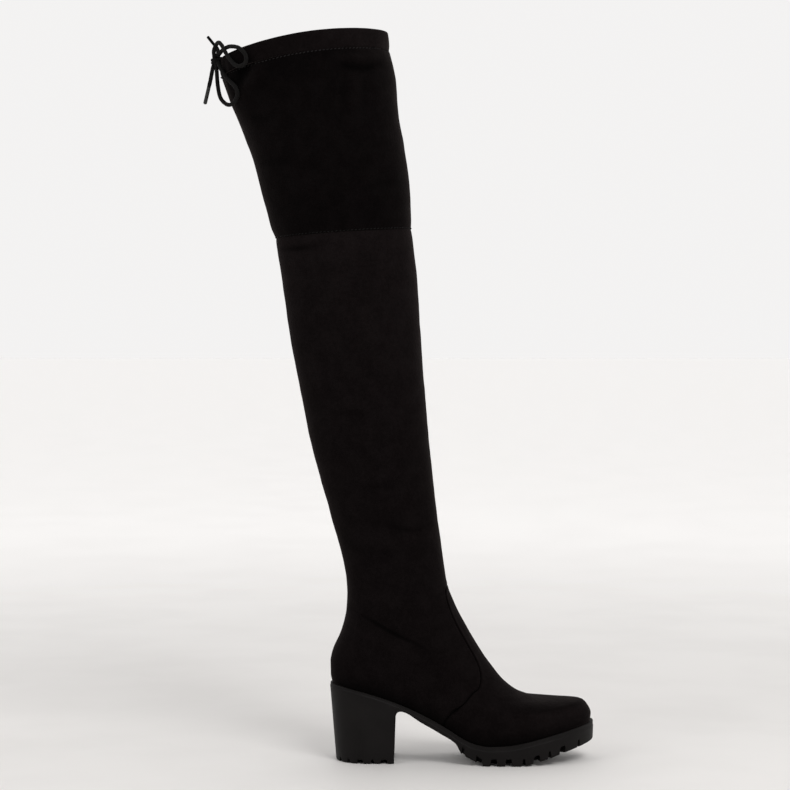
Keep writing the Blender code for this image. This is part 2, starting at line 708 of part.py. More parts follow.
def make_bow(parts, cord, tip):
    make_knot(parts, cord)
    for name, route in (("bow_side_loop", SIDE_LOOP_ROUTE), ("bow_hanging_loop", HANGING_LOOP_ROUTE)):
        tube(name, route_points(route, CORD_SPACING), CORD_RADIUS, parts, cord)
    for name, route, aglet_tip, radius in (
        ("bow_upper_end", UPPER_END_ROUTE, UPPER_AGLET_TIP, UPPER_AGLET_RADIUS),
        ("bow_lower_end", LOWER_END_ROUTE, LOWER_AGLET_TIP, LOWER_AGLET_RADIUS),
    ):
        tube(name, route_points(route, CORD_SPACING / 2), CORD_RADIUS, parts, cord)
        start = Vector(route[-1])
        along = (Vector(aglet_tip) - start).normalized()
        aglet = [start + along * 3 * GAP, start.lerp(Vector(aglet_tip), 0.5), Vector(aglet_tip)]
        tube(name.replace("end", "aglet"), aglet, radius, parts, tip)


def main():
    for leftover in list(bpy.data.objects):
        bpy.data.objects.remove(leftover)
    parts = bpy.data.collections.new("over_knee_boot")
    cutters = bpy.data.collections.new("cutters")
    bpy.context.scene.collection.children.link(parts)
    bpy.context.scene.collection.children.link(cutters)
    suede = material("suede", SUEDE)
    metal = material("zip_metal", ZIP_METAL)
    tape = material("zip_tape_cloth", ZIP_TAPE_CLOTH)
    make_sole(parts, cutters)
    make_insole(parts)
    make_upper(parts, cutters, suede)
    make_thigh_panel(parts, suede)
    zip_strip("zip_tape", -TAPE_SINK, TAPE_THICKNESS, ZIP_SLOT_HALF - GAP, parts, cutters, tape)
    zip_strip("zip_chain", CHAIN_PROUD, CHAIN_PROUD + TAPE_SINK - GAP, ZIP_CHAIN_HALF, parts, cutters, tape)
    make_slider(parts, cutters, metal)
    make_pull(parts, metal)
    make_bow(parts, material("drawstring", DRAWSTRING), material("aglet_plastic", AGLET_PLASTIC))


main()
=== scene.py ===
"""Dresses the over-the-knee boot: suede skin with its seams and creases, sole, zip, drawstring bow and stage.

Units are metres. +X points to the toe, +Y to the inner side of the leg and +Z up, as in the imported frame.
"""

import json
import math
from collections import namedtuple
from contextlib import contextmanager

import bmesh
import bpy
import numpy as np
from bpy.props import FloatProperty, FloatVectorProperty, PointerProperty
from bpy.types import Operator, Panel, PropertyGroup
from mathutils import Matrix, Vector, noise
from mathutils.bvhtree import BVHTree


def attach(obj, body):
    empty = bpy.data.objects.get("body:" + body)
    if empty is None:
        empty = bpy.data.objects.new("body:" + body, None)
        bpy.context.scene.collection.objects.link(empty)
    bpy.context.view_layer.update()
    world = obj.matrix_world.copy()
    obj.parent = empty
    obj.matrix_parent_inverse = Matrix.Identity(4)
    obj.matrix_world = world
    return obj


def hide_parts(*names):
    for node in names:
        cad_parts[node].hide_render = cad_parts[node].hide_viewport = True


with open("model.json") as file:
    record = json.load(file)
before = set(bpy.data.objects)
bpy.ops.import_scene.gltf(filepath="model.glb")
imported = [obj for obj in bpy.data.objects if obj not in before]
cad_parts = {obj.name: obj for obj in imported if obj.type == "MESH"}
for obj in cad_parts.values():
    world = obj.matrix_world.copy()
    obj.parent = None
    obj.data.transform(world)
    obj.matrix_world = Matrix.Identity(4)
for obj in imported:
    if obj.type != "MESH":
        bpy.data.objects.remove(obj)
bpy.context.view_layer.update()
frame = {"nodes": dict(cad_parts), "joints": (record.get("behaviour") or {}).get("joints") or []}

bl_info = {
    "name": "Over-the-knee boot",
    "version": (1, 0, 0),
    "blender": (4, 5, 0),
    "location": "View3D > Sidebar > Boot",
    "description": "Dresses a suede boot with a cleated sole, an inner zip and a drawstring bow",
    "category": "Object",
}

LATERAL, MEDIAL = -1, 1
OUTER, INNER, BOTH_SIDES = (LATERAL,), (MEDIAL,), (LATERAL, MEDIAL)
Stop = namedtuple("Stop", "at value")
TINY = 1e-9  # a length below this counts as nothing

# Form of the last and the leg
SOLE_BACK_X = -0.0355
SOLE_FRONT_X = 0.2140
TOE_SWING = (Stop(0.080, 0.0), Stop(0.150, 0.0021), Stop(SOLE_FRONT_X, 0.0060))
Height = namedtuple("Height", "x z")
FEATHER_LINE = (
    Height(-0.0355, 0.0728),
    Height(-0.0240, 0.0714),
    Height(0.0014, 0.0656),
    Height(0.0275, 0.0567),
    Height(0.0508, 0.0466),
    Height(0.0750, 0.0336),
    Height(0.0922, 0.0233),
    Height(0.1020, 0.0198),
    Height(0.1130, 0.0182),
    Height(0.1280, 0.0188),
    Height(0.1450, 0.0214),
    Height(0.1660, 0.0263),
    Height(0.1870, 0.0310),
    Height(0.2140, 0.0362),
)
Outline = namedtuple("Outline", "x lateral medial")
LAST_OUTLINE = (
    Outline(-0.0355, 0.0280, 0.0280),
    Outline(0.0000, 0.0284, 0.0282),
    Outline(0.0300, 0.0286, 0.0275),
    Outline(0.0600, 0.0308, 0.0280),
    Outline(0.0900, 0.0362, 0.0318),
    Outline(0.1200, 0.0412, 0.0375),
    Outline(0.1400, 0.0420, 0.0400),
    Outline(0.1600, 0.0410, 0.0404),
    Outline(0.1850, 0.0375, 0.0380),
    Outline(0.2140, 0.0335, 0.0345),
)
Section = namedtuple(
    "Section",
    "back_x back_z front_x front_z half_width swell back_round front_round leg_share sag rise",
    defaults=(1.0, 0.5, 0.5, 1.0, 0.0, 0.0),  # a plain round of the leg
)
UPPER_SECTIONS = (
    Section(-0.0330, 0.0726, 0.2108, 0.0354, 0.0400, 1.00, 0.125, 0.200, 0.00, 1.00),
    Section(-0.0342, 0.0798, 0.2111, 0.0424, 0.0400, 1.03, 0.130, 0.205, 0.00, 0.97),
    Section(-0.0344, 0.0866, 0.2082, 0.0496, 0.0400, 1.04, 0.140, 0.225, 0.00, 0.93),
    Section(-0.0345, 0.0926, 0.2016, 0.0552, 0.0390, 1.04, 0.150, 0.265, 0.00, 0.85),
    Section(-0.0336, 0.0980, 0.1840, 0.0564, 0.0385, 1.03, 0.165, 0.345, 0.05, 0.72),
    Section(-0.0320, 0.1040, 0.1629, 0.0573, 0.0380, 1.02, 0.185, 0.420, 0.15, 0.53),
    Section(-0.0298, 0.1095, 0.1454, 0.0620, 0.0380, 1.01, 0.210, 0.445, 0.30, 0.34),
    Section(-0.0268, 0.1160, 0.1284, 0.0740, 0.0378, 1.00, 0.250, 0.470, 0.45, 0.16),
    Section(-0.0239, 0.1230, 0.1142, 0.0916, 0.0374, 1.00, 0.310, 0.490, 0.62, 0.05),
    Section(-0.0212, 0.1320, 0.1014, 0.1108, 0.0366, 1.00, 0.390, 0.500, 0.78),
    Section(-0.0192, 0.1435, 0.0904, 0.1300, 0.0356, 1.00, 0.450, 0.500, 0.92),
    Section(-0.0184, 0.1560, 0.0804, 0.1500, 0.0348),
    Section(-0.0190, 0.1690, 0.0742, 0.1680, 0.0345),
    Section(-0.0219, 0.1860, 0.0714, 0.1870, 0.0352),
    Section(-0.0294, 0.2140, 0.0672, 0.2170, 0.0372),
    Section(-0.0400, 0.2520, 0.0624, 0.2560, 0.0404),
    Section(-0.0530, 0.3000, 0.0572, 0.3060, 0.0436),
    Section(-0.0629, 0.3500, 0.0529, 0.3572, 0.0460),
    Section(-0.0724, 0.4000, 0.0492, 0.4080, 0.0480),
    Section(-0.0792, 0.4480, 0.0460, 0.4562, 0.0495),
    Section(-0.0847, 0.4840, 0.0418, 0.4924, 0.0506),
    Section(-0.0850, 0.4902, 0.0406, 0.4986, 0.0498),
)
THIGH_SECTIONS = (
    Section(-0.0850, 0.4905, 0.0406, 0.4989, 0.0498),
    Section(-0.0890, 0.4985, 0.0408, 0.5069, 0.0520),
    Section(-0.0974, 0.5290, 0.0395, 0.5380, 0.0545),
    Section(-0.1064, 0.5630, 0.0347, 0.5740, 0.0570, rise=0.001),
    Section(-0.1176, 0.5930, 0.0289, 0.6070, 0.0585, rise=0.003),
    Section(-0.1280, 0.6190, 0.0262, 0.6392, 0.0588, rise=0.004),
    Section(-0.1346, 0.6388, 0.0206, 0.6637, 0.0578, rise=0.0043),
    Section(-0.1350, 0.6410, 0.0196, 0.6661, 0.0572, rise=0.0043),
    Section(-0.1368, 0.6450, 0.0202, 0.6704, 0.0580, rise=0.005),
    Section(-0.1376, 0.6520, 0.0199, 0.6770, 0.0580, rise=0.005),
    Section(-0.1370, 0.6588, 0.0190, 0.6832, 0.0572, rise=0.005),
)
BOW_THREAD_SHADE_REACH = 0.95  # the hem's thread is painted darker this far round from the back, in radians, as shade by the bow
KNEE_STITCH_LEVEL = 0.16  # row of the thigh's table just above the knee seam
HEM_STITCH_LEVEL = 6.7  # row where the drawstring's tunnel is sewn
LINING_TOP_LEVEL = 8.4  # row where the lining ends behind the collar's hem
COLLAR_LEVEL = 9.78  # row where the collar's edge starts to roll over
COLLAR_SLOPE_RING = -4  # the collar's slope is taken from this ring to the last
LEVEL_GAP = 0.02  # a last level takes the place of levels nearer to it than this
EDGE_ROUND = 0.0008  # an edge of the suede turns in by this much before its allowance
LASTING_DROP = 0.0002
LASTING_DEPTH = 0.0060
SEAM_DROP = 0.0004
SEAM_ALLOWANCE = 0.0040
HEM_TURN_UP = 0.0012  # the hem's inner end turns back to the leg's wall

# Seams and creases, as lines seen from the side
VAMP_SEAM = (
    Height(0.0765, 0.1660),
    Height(0.0730, 0.1602),
    Height(0.0753, 0.1480),
    Height(0.0825, 0.1301),
    Height(0.0934, 0.1107),
    Height(0.1024, 0.0943),
    Height(0.1059, 0.0820),
    Height(0.1039, 0.0715),
    Height(0.0983, 0.0670),
    Height(0.0892, 0.0570),
    Height(0.0784, 0.0483),
    Height(0.0730, 0.0413),
    Height(0.0712, 0.0362),
)
Crease = namedtuple("Crease", "sides depth width route")  # a ridge has a negative depth
ANKLE_CREASE = ((-0.0150, 0.1446), (0.0065, 0.1330), (0.0279, 0.1214), (0.0464, 0.1126), (0.0640, 0.1010))
KNEE_FOLD = ((-0.0860, 0.4810), (-0.0680, 0.4795), (-0.0500, 0.4812), (-0.0360, 0.4840))
UPPER_CREASES = (
    Crease(BOTH_SIDES, 0.0005, 0.0015, ANKLE_CREASE),
    Crease(BOTH_SIDES, 0.0007, 0.0065, ANKLE_CREASE),
    Crease(OUTER, 0.0003, 0.0012, ((0.0850, 0.0838), (0.0930, 0.0762), (0.1000, 0.0690))),
    Crease(BOTH_SIDES, 0.0006, 0.0022, ((0.0610, 0.1530), (0.0670, 0.1570), (0.0735, 0.1616))),
    Crease(BOTH_SIDES, 0.0005, 0.0040, ((-0.0450, 0.3340), (-0.0156, 0.3276), (0.0168, 0.3295))),
    Crease(BOTH_SIDES, 0.0006, 0.0045, ((-0.0295, 0.2647), (0.0120, 0.2592), (0.0537, 0.2666))),
    Crease(OUTER, 0.0006, 0.0035, ((0.0075, 0.2277), (0.0399, 0.2185), (0.0620, 0.2230))),
    Crease(BOTH_SIDES, 0.0006, 0.0050, ((-0.0200, 0.2046), (0.0167, 0.1980), (0.0530, 0.2046))),
    Crease(OUTER, 0.0009, 0.0030, KNEE_FOLD),
    Crease(OUTER, 0.0005, 0.0030, ((0.0180, 0.4790), (0.0300, 0.4764), (0.0420, 0.4790))),
    Crease(OUTER, 0.0004, 0.0050, ((-0.0640, 0.3880), (-0.0420, 0.3815), (-0.0200, 0.3800))),
)
PUCKER_HEIGHTS = (0.3160, 0.3390, 0.3590, 0.3820, 0.4010, 0.4250, 0.4450, 0.4680)
PUCKERS = tuple(  # short creases across the inner calf, above the zip
    Crease(INNER, 0.0007, 0.0048, ((0.0120, z), (0.0310, z - 0.0025), (0.0470, z + 0.0010)))
    for z in PUCKER_HEIGHTS
)
HEM_FOLD = ((-0.0340, 0.6480), (-0.0200, 0.6458), (-0.0060, 0.6435), (0.0070, 0.6480), (0.0140, 0.6540))
HEM_RIDGE = ((-0.0340, 0.6550), (-0.0200, 0.6535), (-0.0060, 0.6525), (0.0120, 0.6580))
BOW_RIDGE = ((-0.0900, 0.6590), (-0.0965, 0.6484), (-0.1025, 0.6370), (-0.1105, 0.6262), (-0.1170, 0.6140))
BOW_FOLD = ((-0.1040, 0.6560), (-0.1090, 0.6470), (-0.1150, 0.6390), (-0.1205, 0.6280))
THIGH_CREASES = (
    Crease(OUTER, 0.0010, 0.0034, HEM_FOLD),
    Crease(OUTER, -0.0014, 0.0036, HEM_RIDGE),
    Crease(OUTER, 0.0005, 0.0048, ((-0.0185, 0.6480), (-0.0215, 0.6240), (-0.0230, 0.5950))),
    Crease(OUTER, -0.0006, 0.0040, ((-0.0110, 0.6480), (-0.0120, 0.6280), (-0.0128, 0.6020))),
    Crease(OUTER, 0.0004, 0.0046, ((-0.0005, 0.6520), (-0.0010, 0.6270), (-0.0035, 0.5950))),
    Crease(OUTER, -0.0012, 0.0055, BOW_RIDGE),
    Crease(OUTER, 0.0016, 0.0070, BOW_FOLD),
    Crease(BOTH_SIDES, 0.0009, 0.0060, ((-0.1090, 0.5560), (-0.0900, 0.5590), (-0.0600, 0.5610))),
    Crease(BOTH_SIDES, 0.0008, 0.0050, ((-0.1180, 0.5990), (-0.1020, 0.6000), (-0.0800, 0.5980))),
    Crease(BOTH_SIDES, 0.0007, 0.0060, ((0.0420, 0.5450), (0.0250, 0.5400), (-0.0050, 0.5390))),
    Crease(INNER, 0.0012, 0.0042, ((-0.0400, 0.6500), (-0.0120, 0.6430), (0.0120, 0.6500))),
    Crease(INNER, 0.0010, 0.0042, ((-0.0850, 0.6480), (-0.0950, 0.6280), (-0.1010, 0.6080))),
)
LIP_PLACE = 2.0  # beside a crease, in its widths
LIP_HEIGHT = 0.32  # of a crease's depth
CREASE_REACH = 5.0  # in a crease's widths
SEAM_FLANK = 0.0026  # the suede swells this far beside a sewn seam
FLANK_HEIGHT = 0.45  # of a seam's depth
SEAM_REACH = 0.012
SEAM_LEAST = 0.3  # share of the vamp seam's depth at its upper end
SEAM_RUN = (0.02, 0.09)  # shares of its length between which it reaches its full depth
HEM_ROW = 0.0034  # about the height of one row of the thigh's table at the hem's stitches
HEM_SEAM_SHARE = 0.7  # of a seam's depth

# Gathers of the hem, by turns round the leg and rows of the thigh's table
Wave = namedtuple("Wave", "height folds phase")
GATHER_HEIGHT = 0.00042
GATHER_FOLDS = 26.0
GATHER_WANDER = Wave(0.6, 3.1, 0.7)
FINE_GATHERS = Wave(0.5, 41.0, 1.3)
GATHER_LEAST = 0.25  # share of their height that is left in front
GATHER_REACH = 0.8  # from the back, in radians
GATHER_START_LEVEL = 4.6
GATHER_END_LEVEL = 9.5
GATHER_FADE = 0.55  # share of their height that they lose from the hem's stitches to the collar

# Soft unevenness of the suede
SLACK_WAVE = (0.035, 0.035, 0.018)
SLACK_RIPPLE = (0.012, 0.012, 0.009)
RIPPLE_SHIFT = (0.0, 0.0, 7.0)
RIPPLE_SHARE = 0.35
SLACK_START = (0.002, 0.030)  # heights above the sole's edge between which it sets in
NAP_START = (0.0, 0.008)  # the same for the nap
THIGH_RELIEF_START = (0.0, 0.25)  # rows above the knee seam between which all relief sets in

# Zip on the inner side, seen from the side
ZIP_ROUTE = (
    Height(0.0462, 0.0590),
    Height(0.0410, 0.0710),
    Height(0.0310, 0.0950),
    Height(0.0205, 0.1300),
    Height(0.0140, 0.1700),
    Height(0.0115, 0.2150),
    Height(0.0112, 0.2600),
    Height(0.0122, 0.3030),
)
ZIP_SLOT_HALF = 0.0050
ZIP_SINK = 0.0020
TAPE_SINK = 0.0006
CHAIN_PROUD = 0.0009
SLIDER_Z = 0.2960
SLIDER_LENGTH = 0.0105
SLIDER_WIDTH = 0.0072
SLIDER_THICKNESS = 0.0022
BAIL_RADIUS = 0.0009
BAIL_RISE = 0.0030
BAIL_SPAN = 0.0056
PULL_LENGTH = 0.0250
PULL_WIDTH = 0.0094
PULL_RADIUS = 0.0009
PULL_BEND = 0.0034
ZIP_REACH = 0.02
ZIP_LIP = 0.0012  # width of the slot's turned edge
ZIP_LIP_HEIGHT = 0.00035
ZIP_SLOT_WALL = (-0.0004, 0.0005)  # from the slot's half width
ZIP_STITCH_OFFSET = 0.0026
TAPE_OVERLAP = 0.0002
TAPE_BED = 0.0002
TAPE_CROWN = 0.0004
TAPE_CROWN_SHARE = 0.5  # of the tape's half width
TOOTH_SIZE = (0.0016, 0.00046, 0.00066)
TOOTH_OFFSET = 0.00085
TOOTH_LIFT = 0.25  # of the chain's height over the skin
COIL_EDGE_OFFSET = 0.0019
COIL_EDGE_LIFT = 0.1  # of the chain's height over the skin
COIL_EDGE_RADIUS = 0.00045
SLIDER_GAP = 0.0003
SLIDER_BEVEL = 0.0006
SLIDER_OUTLINE = (  # shares of its width and length, round from the upper corner
    (-0.42, 0.5),
    (0.42, 0.5),
    (0.5, 0.36),
    (0.5, 0.0),
    (0.34, -0.5),
    (-0.34, -0.5),
    (-0.5, 0.0),
    (-0.5, 0.36),
)
BAIL_SQUARENESS = 0.7  # below 1 the bail's arch is fuller than round

# Sole unit
RIM_OVERHANG = 0.0024
BAND_RECESS = 0.0006
BAND_DEPTHS = (Stop(-0.0355, 0.0022), Stop(0.0300, 0.0028), Stop(0.0700, 0.0042), Stop(0.2140, 0.0042))
BandStep = namedtuple("BandStep", "below recess_share")
BAND_STEPS = (BandStep(-0.0004, 1.0), BandStep(0.0, 0.6), BandStep(0.0004, 0.12), BandStep(0.0009, 0.0))
BAND_TOP = 0.0004
TOP_LIP = 0.0005
TOP_INSET = 0.0034  # a row of points on the sole's top, this far in from its rim
SIDE_SHARES = (0.12, 0.3, 0.5, 0.7, 0.88, 1.0)  # rows of points from the band to the tread's bevel
BEVEL_SHARES = (0.3, 0.6, 0.85)  # rows of points round the bevel
TREAD_BEVEL = 0.0014
HEEL_BACK_X = -0.0295
HEEL_FRONT_X = 0.0250
BREAST_X = 0.0261
HEEL_TAPER = 0.92
TREAD_TAPER = 0.965
TOE_UNDERCUT = 0.0006
UNDERCUT_POWER = 8
HEEL_ROUND = 0.130  # rounded ends, as shares of the sole's length
TOE_ROUND = 0.205
INWARD_MIDDLE_X = 0.09
INWARD_LEAN = 0.02  # how much inward directions lean to that middle
HEEL_CORNER = 0.0016  # rounding of the heel's two front edges
CORNER_END_X = 0.036
CORNER_DEPTHS = (0.004, 0.016)  # depths below the rim between which the rounding sets in
TREAD_LINE = (
    Height(0.0266, 0.0450),
    Height(0.0282, 0.0482),
    Height(0.0310, 0.0490),
    Height(0.0508, 0.0386),
    Height(0.0680, 0.0290),
    Height(0.0822, 0.0202),
    Height(0.0880, 0.0108),
    Height(0.0970, 0.0058),
    Height(0.1060, 0.0005),
    Height(0.1080, 0.0000),
    Height(0.1460, 0.0000),
    Height(0.1480, 0.0004),
    Height(0.1660, 0.0054),
    Height(0.1850, 0.0112),
    Height(0.2140, 0.0187),
)
Notch = namedtuple("Notch", "x width reach depth")
NARROW = (0.0026, 0.0085)
WIDE = (0.0057, 0.0150)
FOREFOOT_NOTCH_DEPTH = 0.0066
HEEL_NOTCH_DEPTH = 0.0036
NOTCHES = (
    Notch(0.0895, *NARROW, FOREFOOT_NOTCH_DEPTH),
    Notch(0.1040, *WIDE, FOREFOOT_NOTCH_DEPTH),
    Notch(0.1176, *WIDE, FOREFOOT_NOTCH_DEPTH),
    Notch(0.1314, *WIDE, FOREFOOT_NOTCH_DEPTH),
    Notch(0.1454, *NARROW, FOREFOOT_NOTCH_DEPTH),
    Notch(0.1580, *WIDE, FOREFOOT_NOTCH_DEPTH),
    Notch(0.1696, *NARROW, FOREFOOT_NOTCH_DEPTH),
    Notch(0.1825, *WIDE, FOREFOOT_NOTCH_DEPTH),
    Notch(0.1980, *NARROW, FOREFOOT_NOTCH_DEPTH),
    Notch(-0.0302, *NARROW, HEEL_NOTCH_DEPTH),
    Notch(-0.0215, *NARROW, HEEL_NOTCH_DEPTH),
    Notch(-0.0099, *WIDE, HEEL_NOTCH_DEPTH),
    Notch(0.0032, *NARROW, HEEL_NOTCH_DEPTH),
    Notch(0.0157, *WIDE, HEEL_NOTCH_DEPTH),
)
TREAD_GROOVES = (0.1108, 0.1245, 0.1384, 0.1517, 0.1640)
GROOVE_WIDTH = 0.0036
GROOVE_LENGTH = 0.0300
GROOVE_DEPTH = 0.0030
NOTCH_EDGE = 0.0004  # half the run of a notch's or groove's soft edge
SHANK_END_X = 0.0822
BALL_END_X = 0.1480
SOLE_WELD = 1e-6
SOLE_SHARP_ANGLE = math.radians(38)

# Drawstring bow at the back of the collar
KNOT_CENTRE = (-0.1416, -0.0058, 0.6562)
SIDE_LOOP_ROUTE = (
    (-0.1424, -0.0066, 0.6566),
    (-0.1429, -0.0080, 0.6605),
    (-0.1428, -0.0100, 0.6660),
    (-0.1390, -0.0152, 0.6717),
    (-0.1348, -0.0232, 0.6687),
    (-0.1281, -0.0322, 0.6568),
    (-0.1196, -0.0404, 0.6474),
    (-0.1116, -0.0460, 0.6486),
    (-0.1108, -0.0466, 0.6562),
    (-0.1170, -0.0426, 0.6632),
    (-0.1256, -0.0318, 0.6662),
    (-0.1322, -0.0196, 0.6658),
    (-0.1370, -0.0112, 0.6630),
    (-0.1392, -0.0070, 0.6607),
    (-0.1404, -0.0054, 0.6570),
)
HANGING_LOOP_ROUTE = (
    (-0.1416, -0.0068, 0.6560),
    (-0.1408, -0.0084, 0.6518),
    (-0.1403, -0.0100, 0.6450),
    (-0.1392, -0.0112, 0.6320),
    (-0.1364, -0.0138, 0.6206),
    (-0.1300, -0.0184, 0.6142),
    (-0.1239, -0.0248, 0.6148),
    (-0.1194, -0.0332, 0.6210),
    (-0.1210, -0.0336, 0.6282),
    (-0.1284, -0.0262, 0.6364),
    (-0.1344, -0.0188, 0.6446),
    (-0.1382, -0.0112, 0.6522),
    (-0.1398, -0.0074, 0.6562),
)
UPPER_END_ROUTE = (
    (-0.1350, -0.0040, 0.6530),
    (-0.1385, -0.0044, 0.6545),
    (-0.1412, -0.0038, 0.6570),
    (-0.1408, -0.0026, 0.6602),
    (-0.1398, -0.0008, 0.6640),
    (-0.1404, 0.0000, 0.6676),
    (-0.1424, 0.0004, 0.6706),
)
UPPER_AGLET_TIP = (-0.1504, 0.0016, 0.6806)
LOWER_END_ROUTE = (
    (-0.1350, -0.0060, 0.6580),
    (-0.1390, -0.0056, 0.6580),
    (-0.1422, -0.0050, 0.6558),
    (-0.1438, -0.0052, 0.6520),
    (-0.1450, -0.0066, 0.6460),
    (-0.1464, -0.0070, 0.6384),
    (-0.1479, -0.0074, 0.6318),
)
LOWER_AGLET_TIP = (-0.1518, -0.0084, 0.6148)
AGLET_HOLD = 0.9  # share of a tip's length that its cord reaches in
AGLET_PRESS = 0.8  # the cord in there, as a share of the tip's radius
AGLET_MOUTH = (-0.0002, 0.0010)  # distances past the mouth between which the cord is pressed
AGLET_OVERLAP = 0.0006
Pinch = namedtuple("Pinch", "at width depth")
AGLET_PINCHES = (Pinch(0.12, 0.05, 0.10), Pinch(0.86, 0.06, 0.06))
KnotTurn = namedtuple("KnotTurn", "rise girth depth tilt sweep lead")
KNOT_TURNS = (
    KnotTurn(0.0008, 0.0034, 0.0030, 0.22, 2.15 * math.pi, 0.3),
    KnotTurn(-0.0016, 0.0030, 0.0027, -0.30, 1.7 * math.pi, 2.2),
)
KNOT_CLIMB = 0.0005
KNOT_PRESS = 0.92  # of the cord's radius
BRAID_STRANDS = 4  # each way round
BRAID_LAY = 2.6  # length of one wave of strands, in the cord's radii
BRAID_CORE = 0.97  # of the cord's radius
BRAID_RISE = 0.05

# How light the suede is painted, by height on the upper and by row of the thigh's table, and what changes it:
# the thigh's darker nap, and painted light and shade
# painted light: the upper is painted lightest towards the knee, where the light from above falls most
SHAFT_PAINTED_LIGHT = (
    Stop(0.030, 0.94),
    Stop(0.118, 0.92),
    Stop(0.229, 0.88),
    Stop(0.320, 0.92),
    Stop(0.366, 0.98),
    Stop(0.449, 1.06),
    Stop(0.485, 1.20),
)
# the thigh's nap lies darker than the upper's; the dip between rows 5.3 and 6.8 is painted shade under the
# hem, and the hem's band above it is lighter
THIGH_NAP_AND_SHADE = (
    Stop(0.0, 0.54),
    Stop(1.2, 0.48),
    Stop(2.4, 0.54),
    Stop(4.2, 0.53),
    Stop(5.3, 0.45),
    Stop(6.4, 0.34),
    Stop(6.8, 0.52),
    Stop(7.2, 0.58),
)
# painted light on the hem, growing towards the front
HEM_FRONT_PAINTED_LIGHT = 1.20
HEM_LEVELS = (6.6, 7.0)  # rows between which the hem's painted light sets in
# painted light: a lit patch under the hem's front
UNDER_HEM_PAINTED_LIGHT = 1.30
UNDER_HEM_LEVELS = (5.2, 6.2)
UNDER_HEM_FRONT = (0.60, 0.95)  # shares of the way to the front
# painted shade beside the bow, on the thigh's back under the collar
BOW_SHADE = 0.60
BOW_SHADE_LEVELS = (4.5, 6.5)
BOW_SHADE_REACH = 0.7  # from the back, in radians
# painted shade on the suede just above the sole's edge
FEATHER_SHADE = 0.60
FEATHER_SHADE_HEIGHT = 0.012
# painted light on the toe's sides and painted shade on its top
TOE_SIDE_PAINTED_LIGHT = 0.50
TOE_SHADE = 0.40
TOE_RUN = (0.11, 0.18)  # along the foot, where the toe's painted light and shade set in
TOE_TURN = (0.3, 0.9)  # from the toe's side to its top, by how far the skin faces up
RELIEF_PAINTED_SHADING = 0.3  # painted light on raised suede and painted shade on sunk suede, as a share of its lightness
NAP_RELIEF = 0.0012  # relief at which it does so fully
PRESSED_SHADE_DEPTHS = (0.0002, 0.0014)  # depths between which the nap is pressed flat and the hollow is painted into shade

# Shares of the materials' shared effects
PATCH_RANGE = (0.36, 0.66)
STROKE_RANGE = (0.3, 0.7)
STROKE_SIZE = 0.2  # of the patches
PATCH_SHARE, STROKE_SHARE, FIBRE_SHARE = 0.20, 0.25, 0.50  # of the raised nap's colour
PATCH_GLOSS = 0.1
STROKE_RISE, FIBRE_RISE = 0.5, 0.7
NAP_DETAIL, FIBRE_DETAIL, CLOUD_DETAIL = 3.0, 4.0, 4.0
WEAVE_RISE = 0.6
CLOUD_SIZE = 40.0  # in grains
CLOUD_RANGE = (0.35, 0.7)
CLOUD_ROUGHNESS = 0.1

# Fineness of the meshes
SKIN_SPACING = 0.0022
SKIN_TURNS = 220
THIGH_SPACING = 0.0018
LINING_SPACING = 0.0080
LINING_TURNS = 80
LINE_SPACING = 0.0015
CREASE_SPACING = 0.0040
REFINED_REACHES = (0.0048, 0.0020)  # round a seam the skin is split once within each reach
RAY_START = 0.2  # a line is laid on the skin by rays from this far beside the boot
MISSED_SIDE = 0.002  # a ray that lands further than this past the middle has missed its side
COLLAR_RINGS, HEM_RINGS = 8, 7
HEEL_STATIONS, BREAST_STATIONS, ARCH_STATIONS, BALL_STATIONS, TOE_STATIONS = 130, 34, 46, 140, 150
TREAD_COLUMNS = 66
TUBE_SIDES = 32
BRAID_STEP = 0.0004
TIP_RINGS = 6
WELD_REACH = 1e-7
KNOT_POINTS = 90
AGLET_RINGS, AGLET_SIDES = 25, 24
ZIP_EDGE_SPACING = 0.003
TAPE_SPACING, TAPE_COLUMNS = 0.0018, 15
NORMAL_WINDOW = 5  # the zip's normals are means over this many points
TOOTH_SEGMENTS, TOOTH_RINGS = 10, 6
COIL_EDGE_SIDES = 8
SLIDER_SPACING = 0.001
SLIDER_SEGMENTS = 3
SLIDER_SHARP_ANGLE = math.radians(50)
BAIL_POINTS, BAIL_SIDES = 33, 14
PULL_BEND_POINTS, PULL_FOOT_POINTS, PULL_SIDES = 13, 19, 16
STITCH_TURNS = 900
STITCH_SPACING = 0.0006
STITCH_POINTS, STITCH_SIDES = 7, 7
STITCH_ARCH = 1.5  # rise of a stitch over its ends, in radii of its thread
STITCH_SQUARENESS = 0.6
STITCH_SUNK = 0.9  # depth of its ends, in radii

# Stage: the floor grows lighter with its distance until it meets the backdrop
BACKDROP_LEVEL = 0.9
FLOOR_FADE = (0.0, 2.6)
FLOOR_GLOW = (0.33, 0.33, 0.33)
FLOOR_HALF = 40.0
FLOOR_LINES = 81
FLOOR_Z = -0.0002
SKY_COLOUR = (1.0, 0.99, 0.985, 1.0)
SKY_LEAN = 0.4  # the sky is lighter towards +Y and, by this share, towards +X
SKY_RANGE = (-0.7, 0.7)
SKY_LEAST, SKY_GAIN = 0.4, 0.5
Lamp = namedtuple("Lamp", "name place aim size power")
LAMPS = (
    Lamp("key_light", (0.9, -1.5, 1.9), (0.00, 0.0, 0.40), 1.2, 24.0),
    Lamp("fill_light", (-1.7, -1.2, 1.6), (0.02, 0.0, 0.20), 1.4, 11.0),
)

# Camera, fitted to the photograph's perspective
CAMERA_PLACE = (0.026, -2.000, 0.397)
CAMERA_LENS = 96.82
CAMERA_SENSOR = 36.0
CAMERA_TILT = 0.0267


def length_property(name, description, default):
    return FloatProperty(name=name, description=description, default=default, unit="LENGTH")


def colour_property(name, description, default):
    return FloatVectorProperty(
        name=name, description=description, default=default, subtype="COLOR", min=0.0, max=1.0
    )


